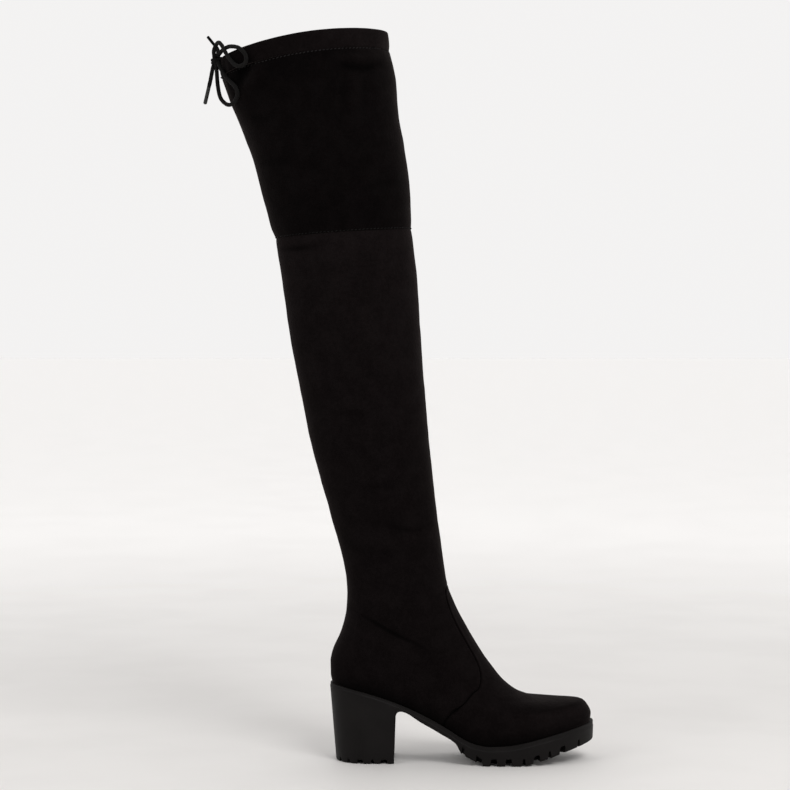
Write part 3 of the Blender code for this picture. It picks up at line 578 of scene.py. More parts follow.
class BootSizes(PropertyGroup):
    """Sizes of the boot's seams, stitches, cord and zip that can be changed without a new frame."""

    lining_depth: length_property("Lining depth", "How far the lining lies inside the suede's face", 0.0028)
    collar_roll: length_property("Collar roll", "Radius of the collar's rolled edge", 0.0015)
    hem_depth: length_property("Hem depth", "How far the collar's hem reaches down inside", 0.0165)
    seam_depth: length_property("Seam depth", "Depth of the groove along a sewn seam", 0.0013)
    seam_width: length_property("Seam width", "Half width of the groove along a sewn seam", 0.0009)
    nap: length_property("Nap", "Height of the brushed nap over the wall's face", 0.00045)
    slackness: length_property("Slackness", "Height of the suede's soft unevenness", 0.00035)
    stitch_length: length_property("Stitch length", "Length of one stitch", 0.0021)
    stitch_pitch: length_property("Stitch pitch", "Distance from one stitch to the next", 0.0036)
    stitch_slant: length_property("Stitch slant", "How far one stitch leans across its seam", 0.0006)
    thread_radius: length_property("Thread radius", "Radius of the sewing thread", 0.00042)
    cord_radius: length_property("Cord radius", "Radius of the drawstring", 0.0019)
    upper_aglet_radius: length_property("Upper aglet radius", "Radius of the upper end's tip", 0.0014)
    lower_aglet_radius: length_property("Lower aglet radius", "Radius of the lower end's tip", 0.0018)
    coil_pitch: length_property("Coil pitch", "Distance between the zip's teeth on one side", 0.0013)


class BootColours(PropertyGroup):
    """Colours of the boot's materials and of the floor."""

    suede: colour_property("Suede", "Suede with its nap laid down", (0.0024, 0.0017, 0.00175))
    suede_brushed: colour_property("Brushed suede", "Suede with its nap raised", (0.0070, 0.0052, 0.0053))
    thread: colour_property("Thread", "Thread of the hem", (0.0145, 0.0132, 0.0132))
    # the seam thread also paints the shade on the hem's stitches by the bow
    seam_and_shaded_thread: colour_property("Seam thread", "Thread at knee and zip", (0.0046, 0.0039, 0.0038))
    rubber: colour_property("Rubber", "Moulded sole", (0.0058, 0.0049, 0.0048))
    rubber_worn: colour_property("Worn rubber", "Bloom on the moulded sole", (0.0080, 0.0069, 0.0067))
    lining: colour_property("Lining", "Cloth inside the leg", (0.0056, 0.0049, 0.0049))
    lining_gap: colour_property("Lining gaps", "Between the lining's threads", (0.0025, 0.0022, 0.0022))
    tape: colour_property("Zip tape", "Woven tape of the zip", (0.0042, 0.0039, 0.0040))
    coil: colour_property("Zip coil", "Nylon teeth of the zip", (0.0048, 0.0047, 0.0049))
    metal: colour_property("Zip metal", "Slider and pull", (0.34, 0.34, 0.35))
    cord: colour_property("Cord", "Drawstring", (0.0085, 0.0078, 0.0075))
    cord_gap: colour_property("Cord gaps", "Between the drawstring's strands", (0.0032, 0.0029, 0.0028))
    # the two tips are one plastic: the lower tip's lighter colour paints the light it reflects, the upper
    # tip's darker colour paints its shade
    aglet: colour_property("Aglet", "Drawstring's lower tip", (0.024, 0.024, 0.023))
    upper_aglet: colour_property("Upper aglet", "Drawstring's upper tip", (0.0018, 0.0018, 0.0018))
    floor: colour_property("Floor", "Plain floor", (0.81, 0.79, 0.77))


# Curves and interpolation


def lerp(start, end, share):
    return start + (end - start) * share


def ease(low, high, at):
    """Rises smoothly from 0 at low to 1 at high."""
    share = np.clip((at - low) / (high - low), 0.0, 1.0)
    return share * share * (3 - 2 * share)


def quarter_round(share):
    """Height of a quarter circle of radius 1 at this share of its run."""
    return np.sqrt(1 - (1 - np.clip(share, 0.0, 1.0)) ** 2)


def smooth_through(stops):
    """A function that runs smoothly through (at, value) stops and never past them."""
    ats, values = (np.array(column, float) for column in zip(*stops))
    spans = np.diff(ats)
    slopes = np.diff(values) / spans
    products = slopes[:-1] * slopes[1:]
    sums = np.where(products > 0, slopes[:-1] + slopes[1:], 1.0)
    bends = np.concatenate([slopes[:1], np.where(products > 0, 2 * products / sums, 0.0), slopes[-1:]])

    def read(at):
        at = np.clip(at, ats[0], ats[-1])
        index = np.clip(np.searchsorted(ats, at, side="right") - 1, 0, len(spans) - 1)
        share = (at - ats[index]) / spans[index]
        rest = 1 - share
        pull = spans[index] * share * rest
        level = values[index] * rest**2 * (1 + 2 * share) + values[index + 1] * share**2 * (1 + 2 * rest)
        return level + pull * (bends[index] * rest - bends[index + 1] * share)

    return read


def route_points(route, spacing):
    """Evenly spaced points on the smooth curve through a route's own points, as rows of an array."""
    stops = [Vector(point) for point in route]
    lengths = [0.0]
    for start, end in zip(stops, stops[1:]):
        lengths.append(lengths[-1] + (end - start).length)
    ends = [2 * stops[0] - stops[1], *stops, 2 * stops[-1] - stops[-2]]
    count = max(2, round(lengths[-1] / spacing))
    points = []
    for step in range(count + 1):
        at = lengths[-1] * step / count
        index = min(len(stops) - 2, max(i for i in range(len(stops)) if lengths[i] <= at + TINY))
        share = (at - lengths[index]) / (lengths[index + 1] - lengths[index])
        before, start, end, after = ends[index : index + 4]
        points.append(
            start
            + 0.5 * share * (end - before)
            + share**2 * (before - 2.5 * start + 2 * end - 0.5 * after)
            + share**3 * (1.5 * (start - end) + 0.5 * (after - before))
        )
    return np.array(points)


def unit(directions):
    """Directions brought to length 1."""
    return directions / np.maximum(np.linalg.norm(directions, axis=-1, keepdims=True), TINY)


def bell(gaps, width):
    """Falls softly from 1 at no gap, and is almost nothing at twice the width."""
    return np.exp(-((gaps / width) ** 2))


def line_runs(points):
    """Length of a line up to each of its points."""
    return np.concatenate([[0.0], np.cumsum(np.linalg.norm(np.diff(points, axis=0), axis=1))])


def line_distance(points, line, reach):
    """Each point's distance from a line, up to reach, and the share of the line at which it lies nearest."""
    gaps = np.full(len(points), reach)
    shares = np.zeros(len(points))
    low, high = line.min(axis=0) - reach, line.max(axis=0) + reach
    near = np.flatnonzero(np.all((points > low) & (points < high), axis=1))
    runs = line_runs(line)
    for start, step, run, length in zip(line, np.diff(line, axis=0), runs, np.diff(runs)):
        at = np.clip((points[near] - start) @ step / length**2, 0.0, 1.0)
        gap = np.linalg.norm(points[near] - start - at[:, None] * step, axis=1)
        closer = gap < gaps[near]
        gaps[near[closer]] = gap[closer]
        shares[near[closer]] = np.minimum(1.0, (run + at[closer] * length) / runs[-1])
    return gaps, shares


# Form of the last and the leg

feather_height = smooth_through(FEATHER_LINE)
tread_height = smooth_through(TREAD_LINE)
lateral_width = smooth_through([(stop.x, stop.lateral) for stop in LAST_OUTLINE])
medial_width = smooth_through([(stop.x, stop.medial) for stop in LAST_OUTLINE])
toe_swing = smooth_through(TOE_SWING)


def last_width(x, side):
    return np.where(side == LATERAL, lateral_width(x), medial_width(x))


def feather_hollow(along):
    """How far the feather line hangs under the straight line between the first section's ends."""
    foot = UPPER_SECTIONS[0]
    return feather_height(lerp(foot.back_x, foot.front_x, along)) - lerp(foot.back_z, foot.front_z, along)


def forward_share(turns):
    """Share of the way from the back to the front at each turn round the leg."""
    return (1 - np.cos(turns)) / 2


def from_back(turns):
    """How far each turn lies from the back, either way round."""
    return np.minimum(turns, 2 * math.pi - turns)


def wall_grid(sections, levels, turns):
    """Points of the outer face: a ring for each level of the table, from the back round the outer side."""
    row = Section(*(smooth_through(list(enumerate(column)))(levels)[:, None] for column in zip(*sections)))
    along = forward_share(turns)[None, :]
    side = np.where(turns < math.pi, LATERAL, MEDIAL)[None, :]
    x = lerp(row.back_x, row.front_x, along)
    z = lerp(row.back_z, row.front_z, along) + row.sag * feather_hollow(along)
    z = z + row.rise * np.sin(math.pi * along)
    width = lerp(last_width(x, side) * row.swell, row.half_width, row.leg_share)
    ends = quarter_round(along / row.back_round) * quarter_round((1 - along) / row.front_round)
    y = side * width * ends + toe_swing(x) * (1 - row.leg_share)
    return np.stack(np.broadcast_arrays(x, y, z), axis=-1)


def close_levels(sections, spacing, last=None):
    """Levels between the rows of a table, so close that their rings lie about this far apart."""
    levels = [0.0]
    for row, (low, high) in enumerate(zip(sections, sections[1:])):
        back = math.hypot(high.back_x - low.back_x, high.back_z - low.back_z)
        front = math.hypot(high.front_x - low.front_x, high.front_z - low.front_z)
        count = max(2, round(max(back, front) / spacing))
        levels += [row + (step + 1) / count for step in range(count)]
    levels = np.array(levels)
    return levels if last is None else np.append(levels[levels < last - LEVEL_GAP], last)


def even_turns(count):
    return np.linspace(0.0, 2 * math.pi, count, endpoint=False)


def grid_normals(grid):
    """Outward normals of a grid of rings."""
    around = np.roll(grid, -1, axis=1) - np.roll(grid, 1, axis=1)
    return unit(np.cross(around, np.gradient(grid, axis=0)))


def level_normals(grid, ring):
    """Outward normals of one ring, laid level."""
    return unit(grid_normals(grid)[ring] * (1.0, 1.0, 0.0))


def turned_in(ring, outward, drop, depth):
    """Two rings that turn an edge in: one just round it, moved by drop along Z, and one at this depth."""
    return np.stack([ring - EDGE_ROUND * outward + (0.0, 0.0, drop), ring - depth * outward])


# Making meshes and objects


def grid_mesh(name, grid, closed=True, wrapped=False):
    """A mesh of quads over rings; closed joins each ring's ends, wrapped joins the last ring to the first."""
    rings, count = grid.shape[:2]
    index = np.arange(rings * count).reshape(rings, count)
    if closed:
        index = np.concatenate([index, index[:, :1]], axis=1)
    if wrapped:
        index = np.concatenate([index, index[:1]], axis=0)
    quads = np.stack([index[:-1, :-1], index[:-1, 1:], index[1:, 1:], index[1:, :-1]], axis=-1).reshape(-1, 4)
    mesh = bpy.data.meshes.new(name)
    mesh.from_pydata(grid.reshape(-1, 3).tolist(), [], quads.tolist())
    mesh.shade_smooth()
    return mesh


@contextmanager
def editing(mesh):
    """A mesh opened for editing, and written back when its block ends."""
    work = bmesh.new()
    if len(mesh.vertices):
        work.from_mesh(mesh)
    yield work
    work.to_mesh(mesh)
    work.free()


def weld(mesh, reach=WELD_REACH):
    """Joins points that coincide, so that a tip or a seam between rings closes."""
    with editing(mesh) as work:
        bmesh.ops.remove_doubles(work, verts=work.verts, dist=reach)
    return mesh


def take_in(work, parts):
    """Moves whole meshes into one that is open for editing."""
    for part in parts:
        work.from_mesh(part)
        bpy.data.meshes.remove(part)


def join_meshes(name, parts):
    """One smooth mesh of several."""
    mesh = bpy.data.meshes.new(name)
    with editing(mesh) as work:
        take_in(work, parts)
    mesh.shade_smooth()
    return mesh


def lay_flat(mesh, across, along):
    """Gives a grid's mesh its flat layout, from lengths across its columns and along its rings."""
    flat = np.stack(np.broadcast_arrays(across[None, :], along[:, None]), axis=-1).reshape(-1, 2)
    corners = np.empty(len(mesh.loops), np.int32)
    mesh.loops.foreach_get("vertex_index", corners)
    layer = mesh.uv_layers.new(name="UVMap")
    layer.data.foreach_set("uv", flat[corners].ravel().astype(np.float32))


def place(name, mesh, finish, body, nodes=()):
    """A new piece in the scene, with its material, on its body, in place of its nodes."""
    mesh.name = name
    piece = bpy.data.objects.new(name, mesh)
    bpy.context.scene.collection.objects.link(piece)
    mesh.materials.clear()
    mesh.materials.append(finish)
    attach(piece, body)
    if nodes:
        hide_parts(*nodes)
    return piece


def mesh_tree(mesh):
    """A search tree over a mesh's faces."""
    points = [vertex.co.copy() for vertex in mesh.vertices]
    return BVHTree.FromPolygons(points, [tuple(face.vertices) for face in mesh.polygons])


def on_skin(tree, route, side, spacing=LINE_SPACING):
    """A line seen from the side, laid on one side of a skin: its points and the normals there."""
    points, normals = [], []
    for x, _, z in route_points([(x, 0.0, z) for x, z in route], spacing):
        point, normal, _, _ = tree.ray_cast(Vector((x, side * RAY_START, z)), Vector((0.0, -side, 0.0)))
        if point is None or point.y * side < -MISSED_SIDE:
            point, normal, _, _ = tree.find_nearest(Vector((x, 0.0, z)))
        points.append(point)
        normals.append(normal)
    return np.array(points), np.array(normals)


def refine(mesh, lines, reaches):
    """Splits a mesh's edges near some lines, once for each reach."""
    with editing(mesh) as work:
        for reach in reaches:
            points = np.array([vertex.co for vertex in work.verts])
            near = np.zeros(len(points), bool)
            for line in lines:
                near |= line_distance(points, line, 2 * reach)[0] < reach
            work.verts.index_update()
            edges = [edge for edge in work.edges if all(near[end.index] for end in edge.verts)]
            bmesh.ops.subdivide_edges(work, edges=edges, cuts=1, use_grid_fill=True)


def point_array(mesh, attribute):
    values = np.empty(len(mesh.vertices) * 3, np.float32)
    mesh.vertices.foreach_get(attribute, values)
    return values.reshape(-1, 3).astype(float)


# Relief of the suede


def crease_profile(gaps, depth, width):
    """A soft trough with a low lip on either side, or a ridge where depth is negative."""
    return depth * (LIP_HEIGHT * bell(gaps - LIP_PLACE * width, width) - bell(gaps, width))


def seam_profile(gaps, sizes):
    """A sewn seam: a narrow groove between two swelling flanks."""
    groove = bell(gaps, sizes.seam_width)
    flanks = (1 - groove) * bell(gaps, SEAM_FLANK)
    return sizes.seam_depth * (FLANK_HEIGHT * flanks - groove)


def crease_relief(points, tree, creases):
    """Relief of some creases, each fading out towards its ends."""
    relief = np.zeros(len(points))
    for crease in creases:
        for side in crease.sides:
            line, _ = on_skin(tree, crease.route, side, CREASE_SPACING)
            gaps, shares = line_distance(points, line, CREASE_REACH * crease.width)
            fade = np.maximum(0.0, np.sin(math.pi * shares))
            relief += crease_profile(gaps, crease.depth, crease.width) * fade
    return relief


def noise_at(points):
    return np.array([noise.noise(point) for point in points.tolist()])


def slack_relief(points, sizes):
    """Soft unevenness of a stretched skin, drawn out along the leg's girth."""
    ripples = noise_at(points / SLACK_RIPPLE + RIPPLE_SHIFT)
    return sizes.slackness * (noise_at(points / SLACK_WAVE) + RIPPLE_SHARE * ripples)


def mark_nap_and_shade(mesh, relief, lightness):
    """Stores how far the nap is pressed down in the hollows, which paints their shade, and how light the
    suede is painted, with painted light on its raised relief and painted shade on its sunk relief.
    """
    nap_light_and_shade = lightness * (1 + RELIEF_PAINTED_SHADING * np.clip(relief / NAP_RELIEF, -1.0, 1.0))
    for name, values in (("pressed", ease(*PRESSED_SHADE_DEPTHS, -relief)), ("lightness", nap_light_and_shade)):
        layer = mesh.attributes.new(name, "FLOAT", "POINT")
        layer.data.foreach_set("value", values.astype(np.float32))


def zip_edges(offset):
    """Two lines beside the zip's own line, this far from it."""
    line = route_points([(stop.x, 0.0, stop.z) for stop in ZIP_ROUTE], ZIP_EDGE_SPACING)
    along = np.gradient(line, axis=0)
    across = offset * unit(np.stack([along[:, 2], along[:, 1], -along[:, 0]], axis=1))
    return [[(x, z) for x, _, z in edge] for edge in (line - across, line + across)]


def zip_relief(points, tree):
    """The slot in which the zip lies, with its turned edges."""
    line, _ = on_skin(tree, ZIP_ROUTE, MEDIAL)
    gaps = line_distance(points, line, ZIP_REACH)[0] - ZIP_SLOT_HALF
    return ZIP_LIP_HEIGHT * bell(gaps - ZIP_LIP, ZIP_LIP) - ZIP_SINK * (1 - ease(*ZIP_SLOT_WALL, gaps))


# Shared effects of the materials


def add_node(tree, kind, inputs=None, **settings):
    """A new node with its settings; inputs gives a value or another node's output for each named socket."""
    node = tree.nodes.new(kind)
    for name, value in settings.items():
        setattr(node, name, value)
    for name, value in (inputs or {}).items():
        if isinstance(value, bpy.types.NodeSocket):
            tree.links.new(value, node.inputs[name])
        else:
            node.inputs[name].default_value = value
    return node


def math_node(tree, operation, *values):
    return add_node(tree, "ShaderNodeMath", dict(enumerate(values)), operation=operation).outputs[0]


def spread(tree, value, low, high):
    """A value stretched so that low gives 0 and high gives 1, with soft ends."""
    inputs = {"Value": value, "From Min": low, "From Max": high}
    return add_node(tree, "ShaderNodeMapRange", inputs, interpolation_type="SMOOTHSTEP").outputs["Result"]


def noise_of(tree, vector, size, detail=2.0):
    """Noise whose blotches are about this size."""
    scale = math_node(tree, "DIVIDE", 1.0, size)
    inputs = {"Vector": vector, "Scale": scale, "Detail": detail}
    return add_node(tree, "ShaderNodeTexNoise", inputs).outputs["Fac"]


def mixed(tree, share, first, second):
    """Two colours mixed by a share; a Mix node has its colours on inputs 6 and 7 and output 2."""
    node = add_node(tree, "ShaderNodeMix", data_type="RGBA")
    for socket, value in ((node.inputs[0], share), (node.inputs[6], first), (node.inputs[7], second)):
        tree.links.new(value, socket)
    return node.outputs[2]


def effect(name, inputs, outputs):
    """A new shader node group with named sockets, and its two end nodes."""
    tree = bpy.data.node_groups.new(name, "ShaderNodeTree")
    for label, kind in inputs:
        tree.interface.new_socket(label, in_out="INPUT", socket_type="NodeSocket" + kind)
    for label, kind in outputs:
        tree.interface.new_socket(label, in_out="OUTPUT", socket_type="NodeSocket" + kind)
    return tree, tree.nodes.new("NodeGroupInput").outputs, tree.nodes.new("NodeGroupOutput").inputs


def nap_effect():
    """Brushed nap: large patches that lie one way or the other, finer strokes and single fibres, darkened by
    Pressed and scaled by Lightness, which carry painted light and shade.
    """
    tree, given, result = effect(
        "Brushed nap",
        (
            ("Vector", "Vector"),
            ("Laid", "Color"),
            ("Raised", "Color"),
            ("Patch Size", "Float"),
            ("Fibre Size", "Float"),
            ("Pressed", "Float"),
            ("Lightness", "Float"),
        ),
        (("Colour", "Color"), ("Roughness", "Float"), ("Height", "Float")),
    )
    patches = spread(tree, noise_of(tree, given["Vector"], given["Patch Size"], NAP_DETAIL), *PATCH_RANGE)
    stroke_size = math_node(tree, "MULTIPLY", given["Patch Size"], STROKE_SIZE)
    strokes = spread(tree, noise_of(tree, given["Vector"], stroke_size, NAP_DETAIL), *STROKE_RANGE)
    fibres = noise_of(tree, given["Vector"], given["Fibre Size"], FIBRE_DETAIL)
    share = math_node(tree, "MULTIPLY", strokes, STROKE_SHARE)
    share = math_node(tree, "MULTIPLY_ADD", patches, PATCH_SHARE, share)
    share = math_node(tree, "MULTIPLY_ADD", fibres, FIBRE_SHARE, share)
    # Pressed darkens the hollows: painted shade.
    share = math_node(tree, "MULTIPLY", share, math_node(tree, "SUBTRACT", 1.0, given["Pressed"]))
    colour = mixed(tree, share, given["Laid"], given["Raised"])
    # Lightness scales the colour: painted light and shade, and the thigh's darker nap.
    inputs = {0: colour, "Scale": given["Lightness"]}
    nap_light_and_shade = add_node(tree, "ShaderNodeVectorMath", inputs, operation="SCALE")
    tree.links.new(nap_light_and_shade.outputs["Vector"], result["Colour"])
    gloss = math_node(tree, "MULTIPLY", patches, PATCH_GLOSS)
    tree.links.new(math_node(tree, "SUBTRACT", 1.0, gloss), result["Roughness"])
    height = math_node(tree, "MULTIPLY", strokes, STROKE_RISE)
    height = math_node(tree, "MULTIPLY_ADD", fibres, FIBRE_RISE, height)
    tree.links.new(height, result["Height"])
    return tree


def weave_effect():
    """Plain weave over a flat vector in metres."""
    tree, given, result = effect(
        "Woven threads",
        (("Vector", "Vector"), ("Thread", "Color"), ("Gap", "Color"), ("Pitch", "Float")),
        (("Colour", "Color"), ("Height", "Float")),
    )
    parts = add_node(tree, "ShaderNodeSeparateXYZ", {0: given["Vector"]})
    turn = math_node(tree, "DIVIDE", math.pi, given["Pitch"])
    warp = math_node(tree, "SINE", math_node(tree, "MULTIPLY", parts.outputs["X"], turn))
    weft = math_node(tree, "SINE", math_node(tree, "MULTIPLY", parts.outputs["Y"], turn))
    checks = math_node(tree, "ABSOLUTE", math_node(tree, "MULTIPLY", warp, weft))
    fuzz = noise_of(tree, given["Vector"], given["Pitch"])
    height = math_node(tree, "MULTIPLY", math_node(tree, "ADD", checks, fuzz), WEAVE_RISE)
    tree.links.new(mixed(tree, height, given["Gap"], given["Thread"]), result["Colour"])
    tree.links.new(height, result["Height"])
    return tree


def grain_effect():
    """Moulded surface: fine even grain under a faint cloudy bloom."""
    tree, given, result = effect(
        "Moulded grain",
        (
            ("Vector", "Vector"),
            ("Colour", "Color"),
            ("Bloom", "Color"),
            ("Grain Size", "Float"),
            ("Roughness", "Float"),
        ),
        (("Colour", "Color"), ("Roughness", "Float"), ("Height", "Float")),
    )
    cloud_size = math_node(tree, "MULTIPLY", given["Grain Size"], CLOUD_SIZE)
    clouds = spread(tree, noise_of(tree, given["Vector"], cloud_size, CLOUD_DETAIL), *CLOUD_RANGE)
    tree.links.new(mixed(tree, clouds, given["Colour"], given["Bloom"]), result["Colour"])
    rough = math_node(tree, "MULTIPLY_ADD", clouds, CLOUD_ROUGHNESS, given["Roughness"])
    tree.links.new(rough, result["Roughness"])
    tree.links.new(noise_of(tree, given["Vector"], given["Grain Size"]), result["Height"])
    return tree


EFFECTS = {"Brushed nap": nap_effect, "Woven threads": weave_effect, "Moulded grain": grain_effect}

# Materials


def rgba(colour):
    return (*colour, 1.0)


def darker(colour, share):
    return [share * part for part in colour]


def object_vector(tree):
    return tree.nodes.new("ShaderNodeTexCoord").outputs["Object"]


def flat_vector(tree):
    return tree.nodes.new("ShaderNodeUVMap").outputs["UV"]


def new_material(name, kind, inputs, relief, strength, vector=object_vector, layers=(), **constants):
    """A material with the colour and relief of a shared effect, and constants on the shader's own sockets.

    Layers names the effect's inputs that are stored on the mesh. The effect also gives the roughness, unless
    that is one of the constants.
    """
    made = bpy.data.materials.new(name)
    made.use_nodes = True
    tree = made.node_tree
    shader = tree.nodes["Principled BSDF"]
    for label, value in constants.items():
        shader.inputs[label.replace("_", " ").title().replace("Ior", "IOR")].default_value = value
    sources = {"Vector": vector(tree)}
    for label in layers:
        sources[label] = add_node(tree, "ShaderNodeAttribute", attribute_name=label.lower()).outputs["Fac"]
    group = bpy.data.node_groups.get(kind) or EFFECTS[kind]()
    look = add_node(tree, "ShaderNodeGroup", {**inputs, **sources}, node_tree=group).outputs
    tree.links.new(look["Colour"], shader.inputs["Base Color"])
    if "roughness" not in constants:
        tree.links.new(look["Roughness"], shader.inputs["Roughness"])
    inputs = {"Strength": strength, "Distance": relief, "Height": look["Height"]}
    bump = add_node(tree, "ShaderNodeBump", inputs)
    tree.links.new(bump.outputs["Normal"], shader.inputs["Normal"])
    return made


def suede_material(colours):
    return new_material(
        "boot_suede",
        "Brushed nap",
        {
            "Laid": rgba(colours.suede),
            "Raised": rgba(colours.suede_brushed),
            "Patch Size": 0.014,
            "Fibre Size": 0.0007,
        },
        relief=0.0003,
        strength=0.6,
        # the pressed layer paints shade in the hollows; the lightness layer carries painted light and shade
        layers=("Pressed", "Lightness"),
        specular_ior_level=0.02,
        sheen_weight=0.13,
        sheen_roughness=0.40,
        sheen_tint=(0.34, 0.28, 0.27, 1.0),
    )


def lining_material(colours):
    return new_material(
        "boot_lining",
        "Brushed nap",
        {
            "Laid": rgba(colours.lining_gap),
            "Raised": rgba(colours.lining),
            "Patch Size": 0.006,
            "Fibre Size": 0.0005,
            "Lightness": 1.0,
        },
        relief=0.0002,
        strength=0.5,
        roughness=0.9,
        specular_ior_level=0.1,
    )


def woven_material(name, thread, gap, pitch, **settings):
    """Cloth of crossing threads."""
    inputs = {"Thread": rgba(thread), "Gap": rgba(gap), "Pitch": pitch}
    return new_material(name, "Woven threads", inputs, **settings)


def insole_material(colours):
    return woven_material(
        "boot_insole",
        colours.lining,
        colours.lining_gap,
        pitch=0.0008,
        relief=0.0002,
        strength=0.6,
        roughness=0.9,
        specular_ior_level=0.2,
    )


def tape_material(colours):
    return woven_material(
        "boot_zip_tape",
        colours.tape,
        colours.lining_gap,
        pitch=0.0006,
        relief=0.0002,
        strength=0.8,
        vector=flat_vector,
        roughness=0.85,
        specular_ior_level=0.08,
    )


def cord_material(colours):
    return woven_material(
        "boot_drawstring",
        colours.cord,
        colours.cord_gap,
        pitch=0.00045,
        relief=0.0001,
        strength=0.6,
        vector=flat_vector,
        roughness=0.8,
        specular_ior_level=0.06,
        sheen_weight=0.06,
        sheen_tint=(0.3, 0.3, 0.3, 1.0),
    )


def grained_material(name, colour, bloom, grain_size, rough, relief, **constants):
    """A moulded or drawn surface with fine grain."""
    inputs = {"Colour": rgba(colour), "Bloom": rgba(bloom), "Grain Size": grain_size, "Roughness": rough}
    return new_material(name, "Moulded grain", inputs, relief, strength=0.5, **constants)


def rubber_material(colours):
    return grained_material(
        "boot_sole_rubber",
        colours.rubber,
        colours.rubber_worn,
        grain_size=0.0006,
        rough=0.50,
        relief=0.00008,
        specular_ior_level=0.10,
    )


def coil_material(colours):
    return grained_material(
        "boot_zip_coil",
        colours.coil,
        colours.tape,
        grain_size=0.0004,
        rough=0.40,
        relief=0.00003,
        specular_ior_level=0.10,
    )


def metal_material(colours):
    return grained_material(
        "boot_zip_metal",
        colours.metal,
        darker(colours.metal, 0.8),
        grain_size=0.0005,
        rough=0.24,
        relief=0.00002,
        metallic=1.0,
    )


def aglet_material(name, colour, gloss):
    return grained_material(
        name,
        colour,
        darker(colour, 0.7),
        grain_size=0.0004,
        rough=0.25,
        relief=0.00003,
        specular_ior_level=gloss,
    )


def thread_material(name, colour):
    return grained_material(
        name,
        colour,
        darker(colour, 0.5),
        grain_size=0.0003,
        rough=0.55,
        relief=0.00010,
        specular_ior_level=0.1,
    )


def floor_material(colours):
    """Plain floor that glows more with its distance, so that it meets the backdrop without a line."""
    made = grained_material(
        "stage_floor",
        colours.floor,
        darker(colours.floor, 0.97),
        grain_size=0.004,
        rough=0.55,
        relief=0.00005,
        emission_strength=1.0,
    )
    tree = made.node_tree
    away = add_node(tree, "ShaderNodeVectorMath", {0: object_vector(tree)}, operation="LENGTH")
    inputs = {0: FLOOR_GLOW, "Scale": spread(tree, away.outputs["Value"], *FLOOR_FADE)}
    glow = add_node(tree, "ShaderNodeVectorMath", inputs, operation="SCALE")
    tree.links.new(glow.outputs["Vector"], tree.nodes["Principled BSDF"].inputs["Emission Color"])
    return made


# Round bars and cords


def bar_frames(points, wrapped=False):
    """Two directions across a line at each of its points, turning as little as they can."""
    if wrapped:
        along = unit(np.roll(points, -1, axis=0) - np.roll(points, 1, axis=0))
    else:
        along = unit(np.gradient(points, axis=0))
    first = Vector(along[0]).orthogonal().normalized()
    firsts, seconds = [], []
    for direction in along:
        direction = Vector(direction)
        first = (first - direction * first.dot(direction)).normalized()
        firsts.append(first.copy())
        seconds.append(direction.cross(first))
    return np.array(firsts), np.array(seconds)


def bar_grid(points, radius, sides, wrapped=False):
    """Rings round a line; radius is one number, or a grid with one for each point of each ring."""
    firsts, seconds = bar_frames(points, wrapped)
    turns = even_turns(sides)
    rounds = np.cos(turns)[None, :, None] * firsts[:, None] + np.sin(turns)[None, :, None] * seconds[:, None]
    radii = np.broadcast_to(radius, (len(points), sides))
    return points[:, None] + radii[:, :, None] * rounds


def closed_bar(name, points, radius, sides):
    """A round bar with rounded ends; radius is one number, or one for each point."""
    head, tail = unit(np.gradient(points, axis=0))[[0, -1]]
    arc = np.linspace(0.0, math.pi / 2, TIP_RINGS)
    reach = float(np.max(radius)) * (1 - np.cos(arc))[:, None]
    line = np.concatenate([points[0] + head * reach, points[1:-1], (points[-1] - tail * reach)[::-1]])
    swell = np.concatenate([np.sin(arc), np.ones(len(points) - 2), np.sin(arc)[::-1]])
    given = np.broadcast_to(radius, len(points))
    radii = np.interp(np.linspace(0, 1, len(line)), np.linspace(0, 1, len(points)), given)
    return weld(grid_mesh(name, bar_grid(line, (radii * swell)[:, None], sides)))


def braided_cord(name, points, radius):
    """A round braid along a line: two sets of strands that cross over each other."""
    runs = line_runs(points)
    turns = BRAID_STRANDS * even_turns(TUBE_SIDES)[None, :]
    girth = float(np.max(radius))
    lay = 2 * math.pi * runs[:, None] / (BRAID_LAY * girth)
    ribs = np.maximum(np.sin(turns + lay), np.sin(turns - lay))
    grid = bar_grid(points, radius * (BRAID_CORE + BRAID_RISE * ribs), TUBE_SIDES)
    head, tail = (np.repeat(points[end, None, None], TUBE_SIDES, 1) for end in (0, -1))
    mesh = grid_mesh(name, np.concatenate([head, grid, tail]))
    around = girth * np.abs(np.linspace(-math.pi, math.pi, TUBE_SIDES, endpoint=False))
    lay_flat(mesh, around, np.concatenate([runs[:1], runs, runs[-1:]]))
    return weld(mesh)


# Operators


